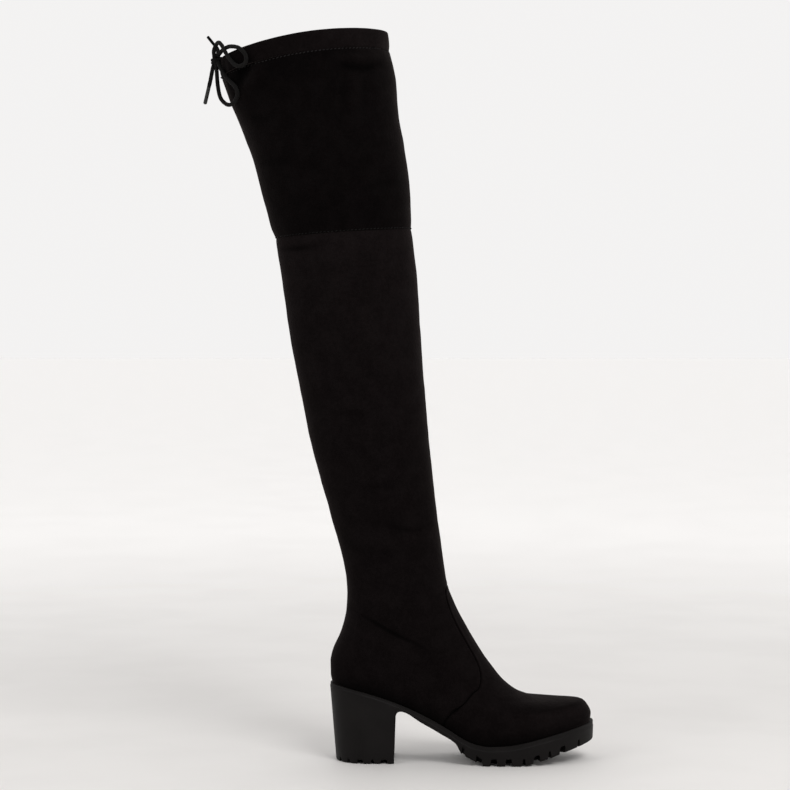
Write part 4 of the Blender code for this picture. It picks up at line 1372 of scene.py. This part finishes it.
class BOOT_OT_set_stage(Operator):
    """Makes the floor, the soft light and the camera at the photograph's angle"""

    bl_idname = "boot.set_stage"
    bl_label = "Set stage"

    def execute(self, context):
        self.lay_floor(context.scene)
        self.light(context.scene)
        self.set_camera(context.scene)
        return {"FINISHED"}

    def lay_floor(self, scene):
        sides = np.linspace(-FLOOR_HALF, FLOOR_HALF, FLOOR_LINES)
        grid = np.stack(np.meshgrid(sides, sides, [FLOOR_Z], indexing="xy"), axis=-1)[:, :, 0]
        floor = bpy.data.objects.new("floor", grid_mesh("floor", grid, closed=False))
        floor.data.materials.append(floor_material(scene.boot_colours))
        scene.collection.objects.link(floor)

    def light(self, scene):
        world = bpy.data.worlds.new("studio")
        world.use_nodes = True
        tree = world.node_tree
        sky = tree.nodes["Background"]
        towards = tree.nodes.new("ShaderNodeTexCoord").outputs["Generated"]
        parts = add_node(tree, "ShaderNodeSeparateXYZ", {0: towards}).outputs
        facing = math_node(tree, "MULTIPLY_ADD", parts["X"], SKY_LEAN, parts["Y"])
        level = math_node(tree, "MULTIPLY_ADD", spread(tree, facing, *SKY_RANGE), SKY_GAIN, SKY_LEAST)
        seen = tree.nodes.new("ShaderNodeLightPath").outputs["Is Camera Ray"]
        strength = add_node(tree, "ShaderNodeMix", {0: seen, 2: level, 3: BACKDROP_LEVEL}, data_type="FLOAT")
        tree.links.new(strength.outputs[0], sky.inputs["Strength"])
        sky.inputs["Color"].default_value = SKY_COLOUR
        scene.world = world
        for lamp in LAMPS:
            light = bpy.data.lights.new(lamp.name, "AREA")
            light.shape = "DISK"
            light.size = lamp.size
            light.energy = lamp.power
            holder = bpy.data.objects.new(lamp.name, light)
            holder.location = lamp.place
            direction = Vector(lamp.aim) - Vector(lamp.place)
            holder.rotation_euler = direction.to_track_quat("-Z", "Y").to_euler()
            scene.collection.objects.link(holder)

    def set_camera(self, scene):
        lens = bpy.data.cameras.new("camera")
        lens.lens = CAMERA_LENS
        lens.sensor_width = CAMERA_SENSOR
        camera = bpy.data.objects.new("camera", lens)
        camera.location = CAMERA_PLACE
        camera.rotation_euler = (math.pi / 2 - CAMERA_TILT, 0.0, 0.0)
        scene.collection.objects.link(camera)
        scene.camera = camera
        scene.view_settings.view_transform = "Standard"


class BOOT_OT_tie_bow(Operator):
    """Ties the drawstring's bow: two loops, two ends with their tips, and the knot"""

    bl_idname = "boot.tie_bow"
    bl_label = "Tie bow"

    def execute(self, context):
        sizes = context.scene.boot_sizes
        colours = context.scene.boot_colours
        braid = cord_material(colours)
        # one plastic in two copies: painted light on the lower tip, painted shade on the upper tip
        shaded_upper_tip = aglet_material("boot_upper_aglet", colours.upper_aglet, gloss=0.02)
        lit_lower_tip = aglet_material("boot_lower_aglet", colours.aglet, gloss=0.2)
        knot = self.wrap_knot(sizes, braid)
        for name, route, pieces in (
            ("bow_side_loop", SIDE_LOOP_ROUTE, [knot]),
            ("bow_hanging_loop", HANGING_LOOP_ROUTE, []),
        ):
            cord, line = self.lay_cord(name, route, sizes, braid)
            self.declare(cord, line, sizes, "object", pieces)
        for name, route, aglet_tip, radius, finish in (
            ("bow_upper_end", UPPER_END_ROUTE, UPPER_AGLET_TIP, sizes.upper_aglet_radius, shaded_upper_tip),
            ("bow_lower_end", LOWER_END_ROUTE, LOWER_AGLET_TIP, sizes.lower_aglet_radius, lit_lower_tip),
        ):
            aglet = self.crimp_aglet(name.replace("end", "aglet"), route[-1], aglet_tip, radius, finish)
            sunk = Vector(route[-1]).lerp(Vector(aglet_tip), AGLET_HOLD)
            cord, line = self.lay_cord(name, (*route, tuple(sunk)), sizes, braid, radius / sizes.cord_radius)
            self.declare(cord, line, sizes, "fitting", [aglet])
        return {"FINISHED"}

    def lay_cord(self, name, route, sizes, finish, sleeve=None):
        """A cord along its route; sleeve is its tip's share of its radius, which presses the last stretch."""
        line = route_points(route, BRAID_STEP)
        pressed = np.ones(len(line))
        if sleeve:
            tail = np.linalg.norm(line - np.array(route[-2]), axis=1)
            inside = np.arange(len(line)) >= int(np.argmin(tail))
            loss = 1 - min(1.0, AGLET_PRESS * sleeve)
            pressed = 1 - loss * np.where(inside, ease(*AGLET_MOUTH, tail), 0.0)
        mesh = braided_cord(name, line, sizes.cord_radius * pressed[:, None])
        return place("dressed_" + name, mesh, finish, "boot", [name]), line

    def declare(self, cord, line, sizes, far_end, pieces):
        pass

    def crimp_aglet(self, name, start, tip, radius, finish):
        """A smooth sleeve over the cord's end, pinched behind its mouth and before its tip."""
        start, tip = Vector(start), Vector(tip)
        shares = np.linspace(0.0, 1.0, AGLET_RINGS)
        line = np.array([start.lerp(tip, share) for share in shares])
        line -= AGLET_OVERLAP * np.array((tip - start).normalized())
        narrowed = 1 - sum(pinch.depth * bell(shares - pinch.at, pinch.width) for pinch in AGLET_PINCHES)
        mesh = closed_bar(name, line, radius * narrowed, AGLET_SIDES)
        return place("dressed_" + name, mesh, finish, "boot", [name])

    def wrap_knot(self, sizes, finish):
        """The cord's turns round the knot: one across its front and a shorter one below it."""
        climb = np.linspace(-KNOT_CLIMB, KNOT_CLIMB, KNOT_POINTS)
        radius = KNOT_PRESS * sizes.cord_radius
        parts = []
        for turn in KNOT_TURNS:
            angles = np.linspace(turn.lead, turn.lead + turn.sweep, KNOT_POINTS)
            lift = turn.rise + climb + turn.tilt * turn.depth * np.sin(angles)
            ring = np.stack([turn.depth * np.cos(angles), turn.girth * np.sin(angles), lift], axis=1)
            parts.append(braided_cord("knot_turn", np.array(KNOT_CENTRE) + ring, radius))
        mesh = join_meshes("bow_knot", parts)
        return place("dressed_bow_knot", mesh, finish, "boot", ["bow_knot"])


Stations = namedtuple("Stations", "rim_x tread_x tread_z taper corner")
Edge = namedtuple("Edge", "rim tread inward")


class BOOT_OT_mould_sole(Operator):
    """Moulds the sole unit: heel, shank and cleated forefoot with the recessed band along the top"""

    bl_idname = "boot.mould_sole"
    bl_label = "Mould sole"

    def execute(self, context):
        stations = self.stations()
        edges = {side: self.edge(stations, side) for side in BOTH_SIDES}
        mesh = weld(grid_mesh("sole", self.rings(stations, edges)), SOLE_WELD)
        with editing(mesh) as work:
            bmesh.ops.recalc_face_normals(work, faces=work.faces)
        mesh.shade_smooth()
        mesh.set_sharp_from_angle(angle=SOLE_SHARP_ANGLE)
        finish = rubber_material(context.scene.boot_colours)
        place("dressed_sole", mesh, finish, "boot", ["sole_unit"])
        return {"FINISHED"}

    def stations(self):
        """Stations from the heel's back up its breast and on to the toe, with the rounding of its edge."""
        heel = 1 - np.cos(np.linspace(0.0, math.pi / 2, HEEL_STATIONS))
        breast = np.linspace(0.0, 1.0, BREAST_STATIONS)[1:-1]
        start = TREAD_LINE[0]
        arch = np.linspace(start.x, SHANK_END_X, ARCH_STATIONS)
        ball = np.linspace(SHANK_END_X, BALL_END_X, BALL_STATIONS)[1:]
        toe = lerp(BALL_END_X, SOLE_FRONT_X, np.sin(np.linspace(0.0, math.pi / 2, TOE_STATIONS)))[1:]
        front = np.concatenate([arch, ball, toe])
        undercut = TOE_UNDERCUT * self.length_share(front) ** UNDERCUT_POWER
        to_corner = (1 - heel) * (HEEL_FRONT_X - HEEL_BACK_X) / HEEL_CORNER
        columns = (
            (lerp(SOLE_BACK_X, BREAST_X, heel), lerp(BREAST_X, start.x, breast), front),
            (lerp(HEEL_BACK_X, HEEL_FRONT_X, heel), lerp(HEEL_FRONT_X, start.x, breast), front - undercut),
            (0 * heel, start.z * breast, tread_height(front)),
            (HEEL_TAPER + 0 * heel, lerp(HEEL_TAPER, TREAD_TAPER, breast), TREAD_TAPER + 0 * front),
            (1 - quarter_round(to_corner), 1 + 0 * breast, 1 - ease(start.x, CORNER_END_X, front)),
        )
        return Stations(*(np.concatenate(column) for column in columns))

    def length_share(self, x):
        return (x - SOLE_BACK_X) / (SOLE_FRONT_X - SOLE_BACK_X)

    def edge(self, stations, side):
        """Rim points, tread points and inward directions along one side."""
        share = self.length_share(stations.rim_x)
        ends = quarter_round(share / HEEL_ROUND) * quarter_round((1 - share) / TOE_ROUND)
        width = side * (last_width(stations.rim_x, side) + RIM_OVERHANG) * ends
        middle = toe_swing(stations.rim_x)
        rim = np.stack([stations.rim_x, width + middle, feather_height(stations.rim_x)], axis=1)
        tread = np.stack([stations.tread_x, width * stations.taper + middle, stations.tread_z], axis=1)
        lean = INWARD_LEAN * (INWARD_MIDDLE_X - stations.rim_x)
        return Edge(rim, tread, unit(np.stack([lean, -width, 0 * width], axis=1)))

    def cut(self, points, stations, edges):
        """How high the notches and grooves reach above the tread at these points."""

        def within(half, gaps):
            return 1 - ease(half - NOTCH_EDGE, half + NOTCH_EDGE, gaps)

        depth = np.zeros(points.shape[:-1])
        for side, edge in edges.items():
            along = np.gradient(edge.tread, axis=0)
            for notch in NOTCHES:
                at = int(np.argmin(np.abs(stations.rim_x - notch.x)))
                outward = unit(side * np.array([-along[at, 1], along[at, 0]]))
                offset = points[..., :2] - edge.tread[at, :2]
                across = np.abs(offset @ np.array([-outward[1], outward[0]]))
                mask = within(notch.reach, -(offset @ outward)) * within(notch.width / 2, across)
                depth = np.maximum(depth, notch.depth * mask)
        for x in TREAD_GROOVES:
            mask = within(GROOVE_WIDTH / 2, np.abs(points[..., 0] - x))
            mask = mask * within(GROOVE_LENGTH / 2, np.abs(points[..., 1] - toe_swing(x)))
            depth = np.maximum(depth, GROOVE_DEPTH * mask)
        return depth

    def side_points(self, stations, edges, side):
        """Points down one side at each station, from the top's inner edge to the tread's edge."""
        rim, tread, inward = edges[side]
        fall = rim[:, 2] - tread[:, 2]

        def down(depth, inset):
            """The side's point this far below the rim, moved in by inset and by the heel's rounded edge."""
            rounding = HEEL_CORNER * stations.corner * ease(*CORNER_DEPTHS, depth)
            return lerp(rim, tread, (depth / fall)[:, None]) + inward * (inset + rounding)[:, None]

        rows = [rim + inward * TOP_INSET, rim + inward * (BAND_RECESS + TOP_LIP), down(BAND_TOP, BAND_RECESS)]
        band = smooth_through(BAND_DEPTHS)(rim[:, 0])
        rows += [down(band + step.below, step.recess_share * BAND_RECESS) for step in BAND_STEPS]
        high = band + BAND_STEPS[-1].below
        low = fall - self.cut(tread, stations, edges) - TREAD_BEVEL
        rows += [down(lerp(high, low, share), 0.0) for share in SIDE_SHARES]
        for arc in np.array(BEVEL_SHARES) * math.pi / 2:
            rows.append(down(low + TREAD_BEVEL * math.sin(arc), TREAD_BEVEL * (1 - math.cos(arc))))
        return np.stack(rows, axis=1)

    def rings(self, stations, edges):
        """A ring of points for each station: down the outer side, across the tread and up the inner side."""
        outer, inner = (self.side_points(stations, edges, side) for side in BOTH_SIDES)
        inset = (TREAD_BEVEL + HEEL_CORNER * stations.corner)[:, None]
        from_outer, to_inner = ((edge.tread + edge.inward * inset)[:, None] for edge in edges.values())
        bottom = lerp(from_outer, to_inner, np.linspace(0.0, 1.0, TREAD_COLUMNS)[None, :, None])
        bottom[..., 2] = stations.tread_z[:, None] + self.cut(bottom, stations, edges)
        return np.concatenate([outer, bottom, inner[:, ::-1]], axis=1)


class BOOT_OT_sew_upper(Operator):
    """Sews the upper: vamp, quarters and shaft as one skin with its seams, creases and the zip's slot"""

    bl_idname = "boot.sew_upper"
    bl_label = "Sew upper"

    def execute(self, context):
        sizes = context.scene.boot_sizes
        grid = wall_grid(UPPER_SECTIONS, close_levels(UPPER_SECTIONS, SKIN_SPACING), even_turns(SKIN_TURNS))
        foot, knee = level_normals(grid, 0), level_normals(grid, -1)
        lasted = turned_in(grid[0], foot, -LASTING_DROP, LASTING_DEPTH)[::-1]
        allowance = turned_in(grid[-1], knee, SEAM_DROP, SEAM_ALLOWANCE)
        mesh = grid_mesh("upper", np.concatenate([lasted, grid, allowance]))
        tree = mesh_tree(mesh)
        seams = [on_skin(tree, VAMP_SEAM, side)[0] for side in BOTH_SIDES]
        slot = [on_skin(tree, edge, MEDIAL)[0] for edge in zip_edges(ZIP_SLOT_HALF)]
        ankle = [on_skin(tree, ANKLE_CREASE, side)[0] for side in BOTH_SIDES]
        refine(mesh, seams + slot + ankle, REFINED_REACHES)
        points, normals = point_array(mesh, "co"), point_array(mesh, "normal")
        relief = crease_relief(points, tree, UPPER_CREASES + PUCKERS) + zip_relief(points, tree)
        above = points[:, 2] - feather_height(points[:, 0])
        relief += slack_relief(points, sizes) * ease(*SLACK_START, above)
        relief += sizes.nap * ease(*NAP_START, above)
        for seam in seams:
            gaps, shares = line_distance(points, seam, SEAM_REACH)
            relief += seam_profile(gaps, sizes) * lerp(SEAM_LEAST, 1.0, ease(*SEAM_RUN, shares))
        points += normals * relief[:, None]
        mesh.vertices.foreach_set("co", points.ravel())
        mesh.update()
        mesh.shade_smooth()
        # Painted light, lightest towards the knee; painted shade just above the sole's edge; on the toe,
        # painted light on its sides and painted shade on its top.
        lightness = smooth_through(SHAFT_PAINTED_LIGHT)(points[:, 2])
        lightness *= 1 - FEATHER_SHADE * bell(above, FEATHER_SHADE_HEIGHT)
        toe = lerp(TOE_SIDE_PAINTED_LIGHT, -TOE_SHADE, ease(*TOE_TURN, normals[:, 2]))
        lightness *= 1 + toe * ease(*TOE_RUN, points[:, 0])
        mark_nap_and_shade(mesh, relief - sizes.nap, lightness)
        finish = suede_material(context.scene.boot_colours)
        place("dressed_upper", mesh, finish, "boot", ["upper"])
        return {"FINISHED"}


class BOOT_OT_sew_thigh(Operator):
    """Sews the thigh panel with its gathered hem and rolled collar"""

    bl_idname = "boot.sew_thigh"
    bl_label = "Sew thigh panel"

    def execute(self, context):
        sizes = context.scene.boot_sizes
        levels = close_levels(THIGH_SECTIONS, THIGH_SPACING, COLLAR_LEVEL)
        turns = even_turns(SKIN_TURNS)
        grid = wall_grid(THIGH_SECTIONS, levels, turns)
        form = grid_mesh("thigh_form", grid)
        tree = mesh_tree(form)
        bpy.data.meshes.remove(form)
        points = grid.reshape(-1, 3)
        relief = crease_relief(points, tree, THIGH_CREASES) + slack_relief(points, sizes)
        relief = relief.reshape(grid.shape[:2]) + self.gathers(levels, turns) + self.hem(levels, sizes)
        relief = relief * ease(*THIGH_RELIEF_START, levels)[:, None]
        grid = grid + grid_normals(grid) * (relief + sizes.nap)[..., None]
        allowance = turned_in(grid[0], level_normals(grid, 0), -SEAM_DROP, SEAM_ALLOWANCE)[::-1]
        collar = self.collar(grid, sizes)
        mesh = grid_mesh("thigh_panel", np.concatenate([allowance, grid, collar]))
        added = ((len(allowance), len(collar)), (0, 0))
        lightness = np.pad(self.lightness(levels, turns), added, mode="edge")
        mark_nap_and_shade(mesh, np.pad(relief, added).ravel(), lightness.ravel())
        finish = bpy.data.materials["boot_suede"]
        place("dressed_thigh_panel", mesh, finish, "boot", ["thigh_panel"])
        return {"FINISHED"}

    def lightness(self, levels, turns):
        """How light the suede is painted: the thigh's darker nap, painted light along and under the hem's
        front, and painted shade by the bow and under the hem.
        """
        levels = levels[:, None]
        forward = forward_share(turns)
        hem = ease(*HEM_LEVELS, levels)
        by_bow = bell(from_back(turns), BOW_SHADE_REACH) * ease(*BOW_SHADE_LEVELS, levels)
        under_hem = (1 - hem) * ease(*UNDER_HEM_LEVELS, levels) * ease(*UNDER_HEM_FRONT, forward)
        front = HEM_FRONT_PAINTED_LIGHT * hem * forward + UNDER_HEM_PAINTED_LIGHT * under_hem
        return smooth_through(THIGH_NAP_AND_SHADE)(levels) * (1 + front) * (1 - BOW_SHADE * by_bow)

    def gathers(self, levels, turns):
        """Short upright folds where the drawstring draws the hem together, strongest beside the bow."""

        def wave(kind):
            return kind.height * np.sin(kind.folds * turns + kind.phase)

        folds = np.sin(GATHER_FOLDS * turns + wave(GATHER_WANDER)) + wave(FINE_GATHERS)
        near_bow = lerp(GATHER_LEAST, 1.0, bell(from_back(turns), GATHER_REACH))
        below = ease(GATHER_START_LEVEL, HEM_STITCH_LEVEL, levels)
        above = 1 - GATHER_FADE * ease(HEM_STITCH_LEVEL, GATHER_END_LEVEL, levels)
        return GATHER_HEIGHT * folds * near_bow * (below * above)[:, None]

    def hem(self, levels, sizes):
        """The sewn line under the drawstring's tunnel."""
        gaps = np.abs(levels - HEM_STITCH_LEVEL) * HEM_ROW
        return HEM_SEAM_SHARE * seam_profile(gaps, sizes)[:, None]

    def collar(self, grid, sizes):
        """Rings that roll over the collar's edge and run down inside as the hem."""
        upward = unit(grid[-1] - grid[COLLAR_SLOPE_RING])
        outward = level_normals(grid, -1)
        rings = []
        for turn in np.linspace(0.0, math.pi, COLLAR_RINGS + 1)[1:]:
            roll = math.sin(turn) * upward - (1 - math.cos(turn)) * outward
            rings.append(grid[-1] + sizes.collar_roll * roll)
        inside = rings[-1]
        for share in np.linspace(0.0, 1.0, HEM_RINGS + 1)[1:]:
            rings.append(inside - share * sizes.hem_depth * upward)
        rings.append(rings[-1] + HEM_TURN_UP * outward)
        return np.stack(rings)


class BOOT_OT_line_leg(Operator):
    """Lines the leg and foot with cloth and finishes the insole"""

    bl_idname = "boot.line_leg"
    bl_label = "Line leg"

    def execute(self, context):
        sizes = context.scene.boot_sizes
        colours = context.scene.boot_colours
        turns = even_turns(LINING_TURNS)
        foot = wall_grid(UPPER_SECTIONS, close_levels(UPPER_SECTIONS, LINING_SPACING)[1:], turns)
        levels = close_levels(THIGH_SECTIONS, LINING_SPACING, LINING_TOP_LEVEL)[1:]
        grid = np.concatenate([foot, wall_grid(THIGH_SECTIONS, levels, turns)])
        grid = grid - sizes.lining_depth * grid_normals(grid)
        mesh = grid_mesh("leg_lining", grid[:, ::-1])
        place("leg_lining", mesh, lining_material(colours), "boot")
        insole = frame["nodes"]["insole"]
        insole.data.materials.clear()
        insole.data.materials.append(insole_material(colours))
        return {"FINISHED"}


class BOOT_OT_fit_zip(Operator):
    """Fits the zip: tape, coil, slider and the wire ring that hangs on it"""

    bl_idname = "boot.fit_zip"
    bl_label = "Fit zip"

    def execute(self, context):
        sizes = context.scene.boot_sizes
        colours = context.scene.boot_colours
        levels = close_levels(UPPER_SECTIONS, SKIN_SPACING)
        form = grid_mesh("zip_form", wall_grid(UPPER_SECTIONS, levels, even_turns(SKIN_TURNS)))
        self.tree = mesh_tree(form)
        bpy.data.meshes.remove(form)
        metal = metal_material(colours)
        self.lay_tape(tape_material(colours))
        self.lay_coil(sizes, coil_material(colours))
        self.make_slider(metal)
        self.hang_pull(metal)
        return {"FINISHED"}

    def line(self, spacing):
        """Points, outward normals, upward and across directions along the zip."""
        points, normals = on_skin(self.tree, ZIP_ROUTE, MEDIAL, spacing)
        edge = NORMAL_WINDOW // 2
        padded = np.pad(normals, ((edge, edge), (0, 0)), mode="edge")
        window = np.ones(NORMAL_WINDOW) / NORMAL_WINDOW
        normals = np.stack([np.convolve(column, window, mode="valid") for column in padded.T], axis=1)
        upward = unit(np.gradient(points, axis=0))
        across = unit(np.cross(upward, normals))
        return points, np.cross(across, upward), upward, across

    def lay_tape(self, finish):
        """Woven tape across the slot, slightly crowned under the coil."""
        points, normals, _, across = self.line(TAPE_SPACING)
        shares = np.linspace(-1.0, 1.0, TAPE_COLUMNS)
        width = (ZIP_SLOT_HALF + TAPE_OVERLAP) * shares
        lift = TAPE_CROWN * bell(shares, TAPE_CROWN_SHARE) - TAPE_SINK - TAPE_BED
        grid = points[:, None] + across[:, None] * width[:, None] + normals[:, None] * lift[:, None]
        mesh = grid_mesh("zip_tape", grid[:, ::-1], closed=False)
        lay_flat(mesh, width[::-1], line_runs(points))
        place("dressed_zip_tape", mesh, finish, "boot", ["zip_tape"])

    def lay_coil(self, sizes, finish):
        """Teeth of the coil: flattened loops that reach in turn from either side over the middle."""
        points, normals, upward, across = self.line(sizes.coil_pitch / 2)
        mesh = bpy.data.meshes.new("zip_coil")
        with editing(mesh) as work:
            for index in range(1, len(points) - 1):
                side = 1 if index % 2 else -1
                axes = Matrix((across[index], upward[index], normals[index])).transposed().to_4x4()
                lift = normals[index] * TOOTH_LIFT * CHAIN_PROUD
                centre = Matrix.Translation(points[index] + lift + across[index] * side * TOOTH_OFFSET)
                tooth = centre @ axes @ Matrix.Diagonal((*TOOTH_SIZE, 1.0))
                bmesh.ops.create_uvsphere(
                    work, u_segments=TOOTH_SEGMENTS, v_segments=TOOTH_RINGS, radius=1.0, matrix=tooth
                )
            for side in BOTH_SIDES:
                edge = points + across * side * COIL_EDGE_OFFSET + normals * COIL_EDGE_LIFT * CHAIN_PROUD
                take_in(work, [closed_bar("coil_edge", edge, COIL_EDGE_RADIUS, COIL_EDGE_SIDES)])
        mesh.shade_smooth()
        place("dressed_zip_coil", mesh, finish, "boot", ["zip_chain"])

    def slider_frame(self):
        """Axes of the slider: across the zip, up along it and out from the leg, at the coil's face."""
        points, normals, upward, across = self.line(SLIDER_SPACING)
        at = int(np.argmin(np.abs(points[:, 2] - SLIDER_Z)))
        matrix = Matrix((across[at], upward[at], normals[at])).transposed().to_4x4()
        matrix.translation = points[at] + normals[at] * (CHAIN_PROUD + SLIDER_GAP)
        return matrix

    def make_slider(self, metal):
        """Slider body with its tapered foot and rounded edges, and the bail that carries the pull."""
        axes = self.slider_frame()
        mesh = bpy.data.meshes.new("zip_slider")
        with editing(mesh) as work:
            bottom, top = (
                [work.verts.new((x * SLIDER_WIDTH, y * SLIDER_LENGTH, lift)) for x, y in SLIDER_OUTLINE]
                for lift in (0.0, SLIDER_THICKNESS)
            )
            work.faces.new(bottom)
            work.faces.new(top[::-1])
            for first in range(len(SLIDER_OUTLINE)):
                second = (first + 1) % len(SLIDER_OUTLINE)
                work.faces.new((bottom[second], bottom[first], top[first], top[second]))
            bmesh.ops.bevel(
                work,
                geom=work.edges[:],
                offset=SLIDER_BEVEL,
                segments=SLIDER_SEGMENTS,
                profile=0.5,
                affect="EDGES",
            )
            bmesh.ops.recalc_face_normals(work, faces=work.faces)
            work.transform(axes)
            take_in(work, [self.bend_bail(axes)])
        mesh.shade_smooth()
        mesh.set_sharp_from_angle(angle=SLIDER_SHARP_ANGLE)
        place("dressed_zip_slider", mesh, metal, "boot", ["zip_slider"])

    def bend_bail(self, axes):
        """The arch of wire over the slider's face."""
        arch = []
        for turn in np.linspace(0.0, math.pi, BAIL_POINTS):
            rise = (BAIL_RISE + 2 * BAIL_RADIUS) * math.sin(turn) ** BAIL_SQUARENESS
            lift = rise + SLIDER_THICKNESS - BAIL_RADIUS
            arch.append(axes @ Vector((0.0, BAIL_SPAN / 2 * math.cos(turn), lift)))
        return closed_bar("bail", np.array(arch), BAIL_RADIUS, BAIL_SIDES)

    def hang_pull(self, metal):
        """The closed wire ring that hangs straight down from the joint's own axis."""
        joint = frame["joints"][0]
        centre = np.array(joint["pos_m"])
        level = unit(np.array(joint["axis"]) * (1.0, 1.0, 0.0))
        down = np.array((0.0, 0.0, -1.0))
        half = PULL_WIDTH / 2 - PULL_RADIUS
        foot = PULL_LENGTH - 2 * PULL_RADIUS - half
        corners = []
        for turn in np.linspace(0.0, math.pi / 2, PULL_BEND_POINTS):
            corners.append((half - PULL_BEND * (1 - math.sin(turn)), PULL_BEND * (1 - math.cos(turn))))
        for turn in np.linspace(0.0, math.pi / 2, PULL_FOOT_POINTS):
            corners.append((half * math.cos(turn), foot + half * math.sin(turn)))
        right = [centre + level * x + down * y for x, y in corners]
        left = [centre - level * x + down * y for x, y in corners[-2::-1]]
        ring = bar_grid(np.array(right + left), PULL_RADIUS, PULL_SIDES, wrapped=True)
        mesh = grid_mesh("zip_pull", ring, wrapped=True)
        place("dressed_zip_pull", mesh, metal, "zip_pull", ["zip_pull"])


class BOOT_OT_stitch_seams(Operator):
    """Sews the visible stitches: under the drawstring's tunnel, at the knee seam and beside the zip"""

    bl_idname = "boot.stitch_seams"
    bl_label = "Stitch seams"

    def execute(self, context):
        sizes = context.scene.boot_sizes
        colours = context.scene.boot_colours
        thread = thread_material("boot_thread", colours.thread)
        seam_and_shaded_thread = thread_material("boot_seam_thread", colours.seam_and_shaded_thread)
        thigh = mesh_tree(bpy.data.objects["dressed_thigh_panel"].data)
        upper = mesh_tree(bpy.data.objects["dressed_upper"].data)
        turns = even_turns(STITCH_TURNS)
        hem, knee = wall_grid(THIGH_SECTIONS, np.array([HEM_STITCH_LEVEL, KNEE_STITCH_LEVEL]), turns)
        by_bow = from_back(turns) < BOW_THREAD_SHADE_REACH
        self.sew("hem_stitches", hem[~by_bow], thigh, sizes, thread)
        # By the bow the hem's stitches take the darker seam thread: painted shade.
        half = int(np.count_nonzero(by_bow)) // 2
        self.sew("hem_back_stitches", np.roll(hem, half, axis=0)[: 2 * half], thigh, sizes, seam_and_shaded_thread)
        self.sew("knee_stitches", knee, thigh, sizes, seam_and_shaded_thread)
        edges = zip_edges(ZIP_SLOT_HALF + ZIP_STITCH_OFFSET)
        for name, edge in zip(("zip_back_stitches", "zip_front_stitches"), edges):
            self.sew(name, on_skin(upper, edge, MEDIAL, STITCH_SPACING)[0], upper, sizes, seam_and_shaded_thread)
        return {"FINISHED"}

    def sew(self, name, line, tree, sizes, finish):
        """Single stitches along a line on a skin, each a short arch of thread with its ends sunk in."""
        runs = line_runs(line)
        parts = []
        for number in range(int(runs[-1] / sizes.stitch_pitch)):
            begin = number * sizes.stitch_pitch
            head, foot = (
                Vector([np.interp(at, runs, line[:, axis]) for axis in range(3)])
                for at in (begin, begin + sizes.stitch_length)
            )
            _, outward, _, _ = tree.find_nearest(head)
            lean = outward.cross(foot - head).normalized() * sizes.stitch_slant
            arch = []
            for share in np.linspace(0.0, 1.0, STITCH_POINTS):
                found, normal, _, _ = tree.find_nearest(head.lerp(foot, share) + lean * (share - 0.5))
                rise = STITCH_ARCH * math.sin(math.pi * share) ** STITCH_SQUARENESS
                arch.append(found + normal * sizes.thread_radius * (rise - STITCH_SUNK))
            parts.append(closed_bar("stitch", np.array(arch), sizes.thread_radius, STITCH_SIDES))
        place(name, join_meshes(name, parts), finish, "boot")


class BOOT_PT_sidebar(Panel):
    """Lists the steps that dress the boot, and its sizes and colours"""

    bl_idname = "BOOT_PT_sidebar"
    bl_label = "Boot"
    bl_space_type = "VIEW_3D"
    bl_region_type = "UI"
    bl_category = "Boot"

    def draw(self, context):
        layout = self.layout
        for step in STEPS:
            layout.operator(step.bl_idname)
        for group in (context.scene.boot_sizes, context.scene.boot_colours):
            box = layout.box()
            for name in group.__annotations__:
                box.prop(group, name)


STEPS = (
    BOOT_OT_set_stage,
    BOOT_OT_tie_bow,
    BOOT_OT_mould_sole,
    BOOT_OT_sew_upper,
    BOOT_OT_sew_thigh,
    BOOT_OT_line_leg,
    BOOT_OT_fit_zip,
    BOOT_OT_stitch_seams,
)
CLASSES = (BootSizes, BootColours, *STEPS, BOOT_PT_sidebar)


def register():
    for entry in CLASSES:
        bpy.utils.register_class(entry)
    bpy.types.Scene.boot_sizes = PointerProperty(type=BootSizes)
    bpy.types.Scene.boot_colours = PointerProperty(type=BootColours)


def unregister():
    del bpy.types.Scene.boot_colours
    del bpy.types.Scene.boot_sizes
    for entry in reversed(CLASSES):
        bpy.utils.unregister_class(entry)


def main():
    register()
    bpy.ops.boot.set_stage()
    bpy.ops.boot.tie_bow()
    bpy.ops.boot.mould_sole()
    bpy.ops.boot.sew_upper()
    bpy.ops.boot.sew_thigh()
    bpy.ops.boot.line_leg()
    bpy.ops.boot.fit_zip()
    bpy.ops.boot.stitch_seams()


if __name__ == "__main__":
    main()
